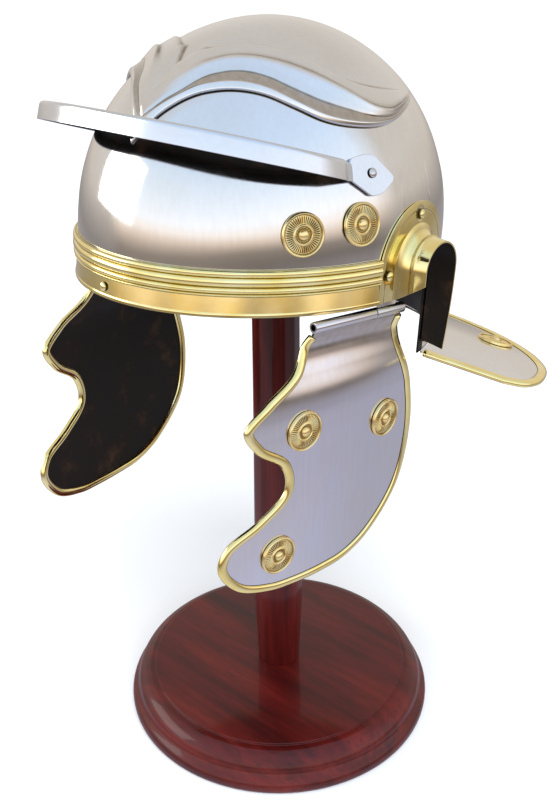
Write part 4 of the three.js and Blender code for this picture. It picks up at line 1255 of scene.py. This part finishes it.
def stand_base():
    body = np.array(BASE_PROFILE) * [BASE_RADIUS, BASE_HEIGHT]
    lip = [[BASE_TOP_RADIUS, 0.94 * BASE_HEIGHT], [BASE_TOP_RADIUS, BASE_HEIGHT], [0, BASE_HEIGHT]]
    corners = np.concatenate([body, lip])
    radii = [0, 0.001, 0.002, 0.003, 0.002, 0.0014, 0.004, 0.004, 0.0012, 0.0006, 0.0009, 0]
    profile = rounded(corners, radii, 6)
    add_piece("stand_base", [turned(profile)], [WOOD_BASE])


def head_bottom():
    return BAND_HEIGHT + DOME_RISE * math.sin(math.pi / 2 * HEAD_TOP_SHARE) - HEAD_DEPTH


def stand_head():
    azimuth = np.linspace(0, 2 * math.pi, HEAD_SIDES, endpoint=False)
    offset = -BOWL_WALL - SEAT_GAP * 1.5
    level = head_bottom() + HEAD_DEPTH
    shoulder = on_bowl(azimuth, level, offset)
    foot = shoulder * [0.9, 0.9, 0] + [0, 0, head_bottom()]
    centre = np.array([0, CROWN_SHIFT, head_bottom()])
    rings = [centre + np.zeros_like(foot), foot]
    heights = [mix(level, BOWL_TOP, 1 - (1 - share) ** 2) for share in np.linspace(0, 1, HEAD_ROWS)]
    rings += [on_bowl(azimuth, height, offset) for height in heights]
    add_piece("stand_head", [on_helmet(loft(rings, ends=False))], [WOOD_POST])


def stand_post():
    foot = BASE_HEIGHT + SEAT_GAP
    top = RIM_HEIGHT + (head_bottom() - SEAT_GAP) / math.cos(TILT) + RIM_SETBACK * math.tan(TILT)
    table = np.array(POST_PROFILE)
    up = np.linspace(0, 1, POST_ROWS)
    radius = smooth_rows(up, table[:, 0], table[:, 1:])[:, 0] * POST_RADIUS
    profile = [[0, foot], *np.stack([radius, mix(foot, top, up)], axis=1), [0, top]]

    def flutes(radius, height, angle):
        rise = smooth_step(foot + 0.012, foot + 0.03, height)
        dip = FLUTE_DEPTH * rise * (0.5 - 0.5 * np.cos(FLUTES * angle)) ** 0.6
        radius = np.maximum(radius - dip, 0)
        lean = np.where(height > top - 1e-6, radius * np.sin(angle) * math.tan(TILT), 0)
        return radius, height - lean

    add_piece("stand_post", [turned(profile, TURNED_SIDES, flutes)], [WOOD_POST])


# Materials

class Nodes:
    """A small helper that writes a material's or the world's node tree."""

    def __init__(self, owner):
        if isinstance(owner, str):
            owner = bpy.data.materials.new(owner)
            owner.use_nodes = True
        self.material = owner
        self.tree = owner.node_tree
        self.shader = self.tree.nodes.get("Principled BSDF")

    def add(self, kind, inputs=None, **settings):
        node = self.tree.nodes.new(kind)
        for key, value in settings.items():
            setattr(node, key, value)
        for key, value in (inputs or {}).items():
            self.put(node.inputs[key], value)
        return node

    def put(self, socket, value):
        if isinstance(value, bpy.types.NodeSocket):
            self.tree.links.new(value, socket)
        else:
            socket.default_value = value

    def set(self, **values):
        for key, value in values.items():
            self.put(self.shader.inputs[key.replace("_", " ")], value)

    def noise(self, scale, stretch=(1, 1, 1), detail=3.0, roughness=0.5, seed=0.0):
        where = self.add("ShaderNodeTexCoord").outputs["Object"]
        mapping = {"Vector": where, "Scale": stretch, "Location": (seed, seed, seed)}
        mapped = self.add("ShaderNodeMapping", mapping).outputs["Vector"]
        settings = {"Vector": mapped, "Scale": scale, "Detail": detail, "Roughness": roughness}
        return self.add("ShaderNodeTexNoise", settings).outputs["Fac"]

    def span(self, value, low, high, start=0.3, end=0.7):
        settings = {"Value": value, "From Min": start, "From Max": end, "To Min": low, "To Max": high}
        return self.add("ShaderNodeMapRange", settings).outputs["Result"]

    def ramp(self, value, stops):
        node = self.add("ShaderNodeValToRGB", {"Fac": value})
        ramp = node.color_ramp
        while len(ramp.elements) < len(stops):
            ramp.elements.new(0.5)
        for element, (place, color) in zip(ramp.elements, stops):
            element.position = place
            element.color = (*color, 1)
        return node.outputs["Color"]

    def blend(self, share, first, second):
        node = self.add("ShaderNodeMix", data_type="RGBA")
        self.put(node.inputs[0], share)
        for socket, value in ((node.inputs[6], first), (node.inputs[7], second)):
            self.put(socket, value if isinstance(value, bpy.types.NodeSocket) else (*value, 1))
        return node.outputs[2]

    def bump(self, height, distance, strength=1.0):
        settings = {"Height": height, "Distance": distance, "Strength": strength}
        return self.add("ShaderNodeBump", settings).outputs["Normal"]

    def math(self, operation, first, second):
        return self.add("ShaderNodeMath", {0: first, 1: second}, operation=operation).outputs[0]

    def attribute(self, name):
        return self.add("ShaderNodeAttribute", attribute_name=name).outputs["Fac"]


# Tarnish and wear colours. The steel's brown and black also serve as painted shade.
STEEL_RUBBED = (0.40, 0.39, 0.38)
STEEL_BROWN = (0.32, 0.24, 0.15)
STEEL_BLACK = (0.02, 0.015, 0.011)
BRASS_DARK = (0.07, 0.035, 0.008)
WOOD_PORES = (0.02, 0.003, 0.003)


def steel(name, bright, warm, rough, streak):
    """Polished sheet steel with rubbed streaks, a faint cloudy tint, and brown to black, which is tarnish
    in some places and painted shade in others.
    """
    nodes = Nodes(name)
    cloud = nodes.noise(18, detail=4, roughness=0.6, seed=2)
    fine = nodes.noise(420, stretch=streak, detail=3, seed=5)
    tint = nodes.blend(nodes.span(cloud, 0, 1), bright, warm)
    tint = nodes.blend(nodes.span(fine, 0, 0.07), tint, STEEL_RUBBED)
    # Each point's share of tarnish, which in some places stands for painted shade.
    tarnish = nodes.attribute("tarnish")
    worn = nodes.span(nodes.noise(260, detail=5, seed=9), 0.65, 1.0)
    tint = nodes.blend(nodes.math("MULTIPLY", tarnish, worn), tint, STEEL_BROWN)
    tint = nodes.blend(nodes.span(tarnish, 0, 1, 0.55, 0.95), tint, STEEL_BLACK)
    gloss = nodes.span(nodes.noise(40, detail=4, seed=3), rough * 0.75, rough * 1.35)
    gloss = nodes.math("ADD", gloss, nodes.span(fine, -0.01, 0.025))
    nodes.set(Base_Color=tint, Metallic=1.0, Roughness=gloss, Normal=nodes.bump(fine, 0.00001, 0.3))
    return nodes.material


def brass(name, deep, pale, rough, grain):
    """Polished brass, cloudy in tone, with dark tarnish in its low places."""
    nodes = Nodes(name)
    cloud = nodes.noise(grain, detail=4, seed=4)
    tint = nodes.blend(nodes.span(cloud, 0, 1), deep, pale)
    spots = nodes.span(nodes.noise(600, detail=4, seed=1), 0.8, 1.0)
    dark = nodes.math("MULTIPLY", nodes.attribute("tarnish"), spots)
    tint = nodes.blend(dark, tint, BRASS_DARK)
    gloss = nodes.span(nodes.noise(150, detail=3, seed=6), rough * 0.7, rough * 1.5)
    gloss = nodes.blend(dark, gloss, (0.5, 0.5, 0.5))
    nodes.set(Base_Color=tint, Metallic=1.0, Roughness=gloss,
              Normal=nodes.bump(nodes.noise(90, detail=2, seed=8), 0.00008, 0.4))
    return nodes.material


def dark_paint(name):
    """The blackened inside of the sheets, with rusty brown patches."""
    nodes = Nodes(name)
    patch = nodes.noise(45, detail=6, roughness=0.65, seed=11)
    tint = nodes.ramp(patch, [(0.35, (0.005, 0.004, 0.0035)), (0.55, (0.010, 0.006, 0.004)),
                              (0.72, (0.050, 0.024, 0.009))])
    nodes.set(Base_Color=tint, Roughness=nodes.span(patch, 0.42, 0.62), Specular_IOR_Level=0.2,
              Normal=nodes.bump(nodes.noise(500, detail=4, seed=12), 0.00005, 0.5))
    return nodes.material


def wood(name, stretch, scale):
    """Dark red-brown lacquered hardwood with long grain under a glossy coat."""
    nodes = Nodes(name)
    grain = nodes.noise(scale, stretch=stretch, detail=6, roughness=0.62, seed=13)
    pores = nodes.noise(scale * 5, stretch=stretch, detail=4, roughness=0.6, seed=14)
    tint = nodes.ramp(grain, [(0.32, (0.032, 0.0018, 0.0015)), (0.5, (0.068, 0.004, 0.003)),
                              (0.68, (0.112, 0.008, 0.005))])
    tint = nodes.blend(nodes.span(pores, 0.45, 0, 0.34, 0.46), tint, WOOD_PORES)
    nodes.set(Base_Color=tint, Roughness=nodes.span(grain, 0.34, 0.46), Specular_IOR_Level=0.2,
              Coat_Weight=0.35, Coat_Roughness=0.08,
              Normal=nodes.bump(pores, 0.00004, 0.25))
    return nodes.material


STEEL_BOWL = steel("polished_steel_bowl", (0.77, 0.77, 0.78), (0.73, 0.71, 0.68), 0.075, (1, 1, 0.06))
STEEL_GUARD = steel("polished_steel_guard", (0.69, 0.72, 0.78), (0.66, 0.67, 0.70), 0.13, (0.05, 1, 1))
STEEL_CHEEK = steel("polished_steel_cheek", (0.68, 0.68, 0.77), (0.70, 0.67, 0.66), 0.14, (1, 1, 0.08))
STEEL_PLAIN = steel("plain_steel", (0.66, 0.66, 0.68), (0.58, 0.56, 0.54), 0.18, (1, 0.1, 1))
BRASS = brass("rolled_brass", (0.90, 0.72, 0.25), (0.97, 0.86, 0.46), 0.09, 60)
AGED_BRASS = brass("pressed_brass", (0.95, 0.69, 0.27), (1.00, 0.82, 0.42), 0.25, 140)
DARK_PAINT = dark_paint("dark_inside")
WOOD_BASE = wood("mahogany_base", (0.12, 1, 1), 60)
WOOD_POST = wood("mahogany_post", (1, 1, 0.06), 90)


# Floor, lights and camera

# The room's light: the share of the way from straight down to straight up, and the colour.
FRONT_LIGHT = [
    (0.0, (0.80, 0.82, 0.95)),
    (0.15, (0.72, 0.73, 0.86)),
    (0.23, (0.60, 0.60, 0.72)),
    (0.29, (0.47, 0.46, 0.53)),
    (0.345, (0.34, 0.31, 0.31)),
    (0.385, (0.22, 0.19, 0.17)),
    (0.43, (0.36, 0.30, 0.25)),
    (0.475, (1.00, 0.82, 0.68)),
    (0.51, (1.30, 1.20, 1.12)),
    (0.56, (1.30, 1.34, 1.42)),
    (0.68, (1.05, 1.18, 1.34)),
    (0.85, (0.80, 0.98, 1.22)),
    (1.0, (0.74, 0.90, 1.15)),
]
BACK_LIGHT = [
    (0.0, (0.58, 0.58, 0.66)),
    (0.28, (0.52, 0.52, 0.60)),
    (0.40, (0.34, 0.31, 0.29)),
    (0.50, (0.74, 0.67, 0.60)),
    (0.60, (0.80, 0.75, 0.69)),
    (0.80, (0.74, 0.70, 0.65)),
    (1.0, (0.74, 0.72, 0.70)),
]
ROOM_FRONT = (0.66, -0.75, 0)
SEEN_WHITE = (0.95, 0.95, 0.95)
FLOOR_REACH = 30.0


def lit_room():
    """A pale room, cool in front and warm behind and along the horizon. It is seen as plain white."""
    world = bpy.data.worlds.new("studio")
    world.use_nodes = True
    bpy.context.scene.world = world
    nodes = Nodes(world)
    where = nodes.add("ShaderNodeTexCoord").outputs["Generated"]
    height = nodes.add("ShaderNodeSeparateXYZ", {"Vector": where}).outputs["Z"]
    level = nodes.span(height, 0, 1, -1, 1)
    facing = nodes.add("ShaderNodeVectorMath", {0: where, 1: ROOM_FRONT}, operation="DOT_PRODUCT")
    share = nodes.span(facing.outputs["Value"], 0, 1, -0.14, 0.12)
    light = nodes.blend(share, nodes.ramp(level, BACK_LIGHT), nodes.ramp(level, FRONT_LIGHT))
    seen = nodes.add("ShaderNodeLightPath").outputs["Is Camera Ray"]
    nodes.put(nodes.tree.nodes["Background"].inputs["Color"], nodes.blend(seen, light, SEEN_WHITE))


def soft_light(name, place, target, size, power, color, mirrored_in_metal):
    data = bpy.data.lights.new(name, "AREA")
    data.shape = "RECTANGLE"
    data.size, data.size_y = size
    data.energy = power
    data.color = color
    lamp = bpy.data.objects.new(name, data)
    lamp.location = place
    aim = Vector(target) - Vector(place)
    lamp.rotation_euler = aim.to_track_quat("-Z", "Y").to_euler()
    lamp.visible_glossy = mirrored_in_metal
    bpy.context.scene.collection.objects.link(lamp)


def daylight(direction, strength, spread):
    """Even light from far away, which leaves soft shadows."""
    data = bpy.data.lights.new("daylight", "SUN")
    data.energy = strength
    data.angle = spread
    lamp = bpy.data.objects.new("daylight", data)
    lamp.rotation_euler = Vector(direction).to_track_quat("-Z", "Y").to_euler()
    lamp.visible_glossy = False
    bpy.context.scene.collection.objects.link(lamp)


def floor():
    data = bpy.data.meshes.new("floor")
    corners = [(-FLOOR_REACH, -FLOOR_REACH, 0), (FLOOR_REACH, -FLOOR_REACH, 0),
               (FLOOR_REACH, FLOOR_REACH, 0), (-FLOOR_REACH, FLOOR_REACH, 0)]
    data.from_pydata(corners, [], [(0, 1, 2, 3)])
    ground = bpy.data.objects.new("floor", data)
    bpy.context.scene.collection.objects.link(ground)
    nodes = Nodes("pale_floor")
    cloud = nodes.noise(3, detail=3)
    tint = nodes.blend(nodes.span(cloud, 0, 1), (0.88, 0.88, 0.88), (0.85, 0.85, 0.85))
    nodes.set(Base_Color=tint, Roughness=0.7)
    data.materials.append(nodes.material)
    ground.visible_glossy = False


def camera():
    level = np.array([math.cos(CAMERA_YAW), math.sin(CAMERA_YAW), 0])
    ahead = np.array([-level[1], level[0], 0]) * math.cos(CAMERA_DOWN) - [0, 0, math.sin(CAMERA_DOWN)]
    upright = np.cross(level, ahead)
    right = math.cos(CAMERA_ROLL) * level + math.sin(CAMERA_ROLL) * upright
    up = -math.sin(CAMERA_ROLL) * level + math.cos(CAMERA_ROLL) * upright
    data = bpy.data.cameras.new("camera")
    data.sensor_fit = "AUTO"
    data.sensor_width = CAMERA_SENSOR
    data.lens = CAMERA_LENS
    eye = bpy.data.objects.new("camera", data)
    turn = Matrix(np.stack([right, up, -ahead], axis=1)).to_4x4()
    eye.matrix_world = Matrix.Translation(CAMERA_PLACE) @ turn
    bpy.context.scene.collection.objects.link(eye)
    bpy.context.scene.camera = eye


bpy.context.scene.view_settings.view_transform = "Standard"
camera()
lit_room()
soft_light("key", (1.3, -0.7, 1.5), (0, 0, 0.35), (1.2, 1.2), 12, (1, 1, 1), False)
soft_light("fill", (-1.4, -1.2, 0.9), (0, 0, 0.3), (1.4, 1.0), 14, (1, 0.97, 0.93), True)
daylight((-0.45, 0.35, -1), 1.5, math.radians(40))
floor()
bowl()
brow_band()
brow_guard()
ear_guard()
neck_guard()
cheek_plate()
hinge_leaf()
hinge_pin()
fittings()
stand_base()
stand_head()
stand_post()
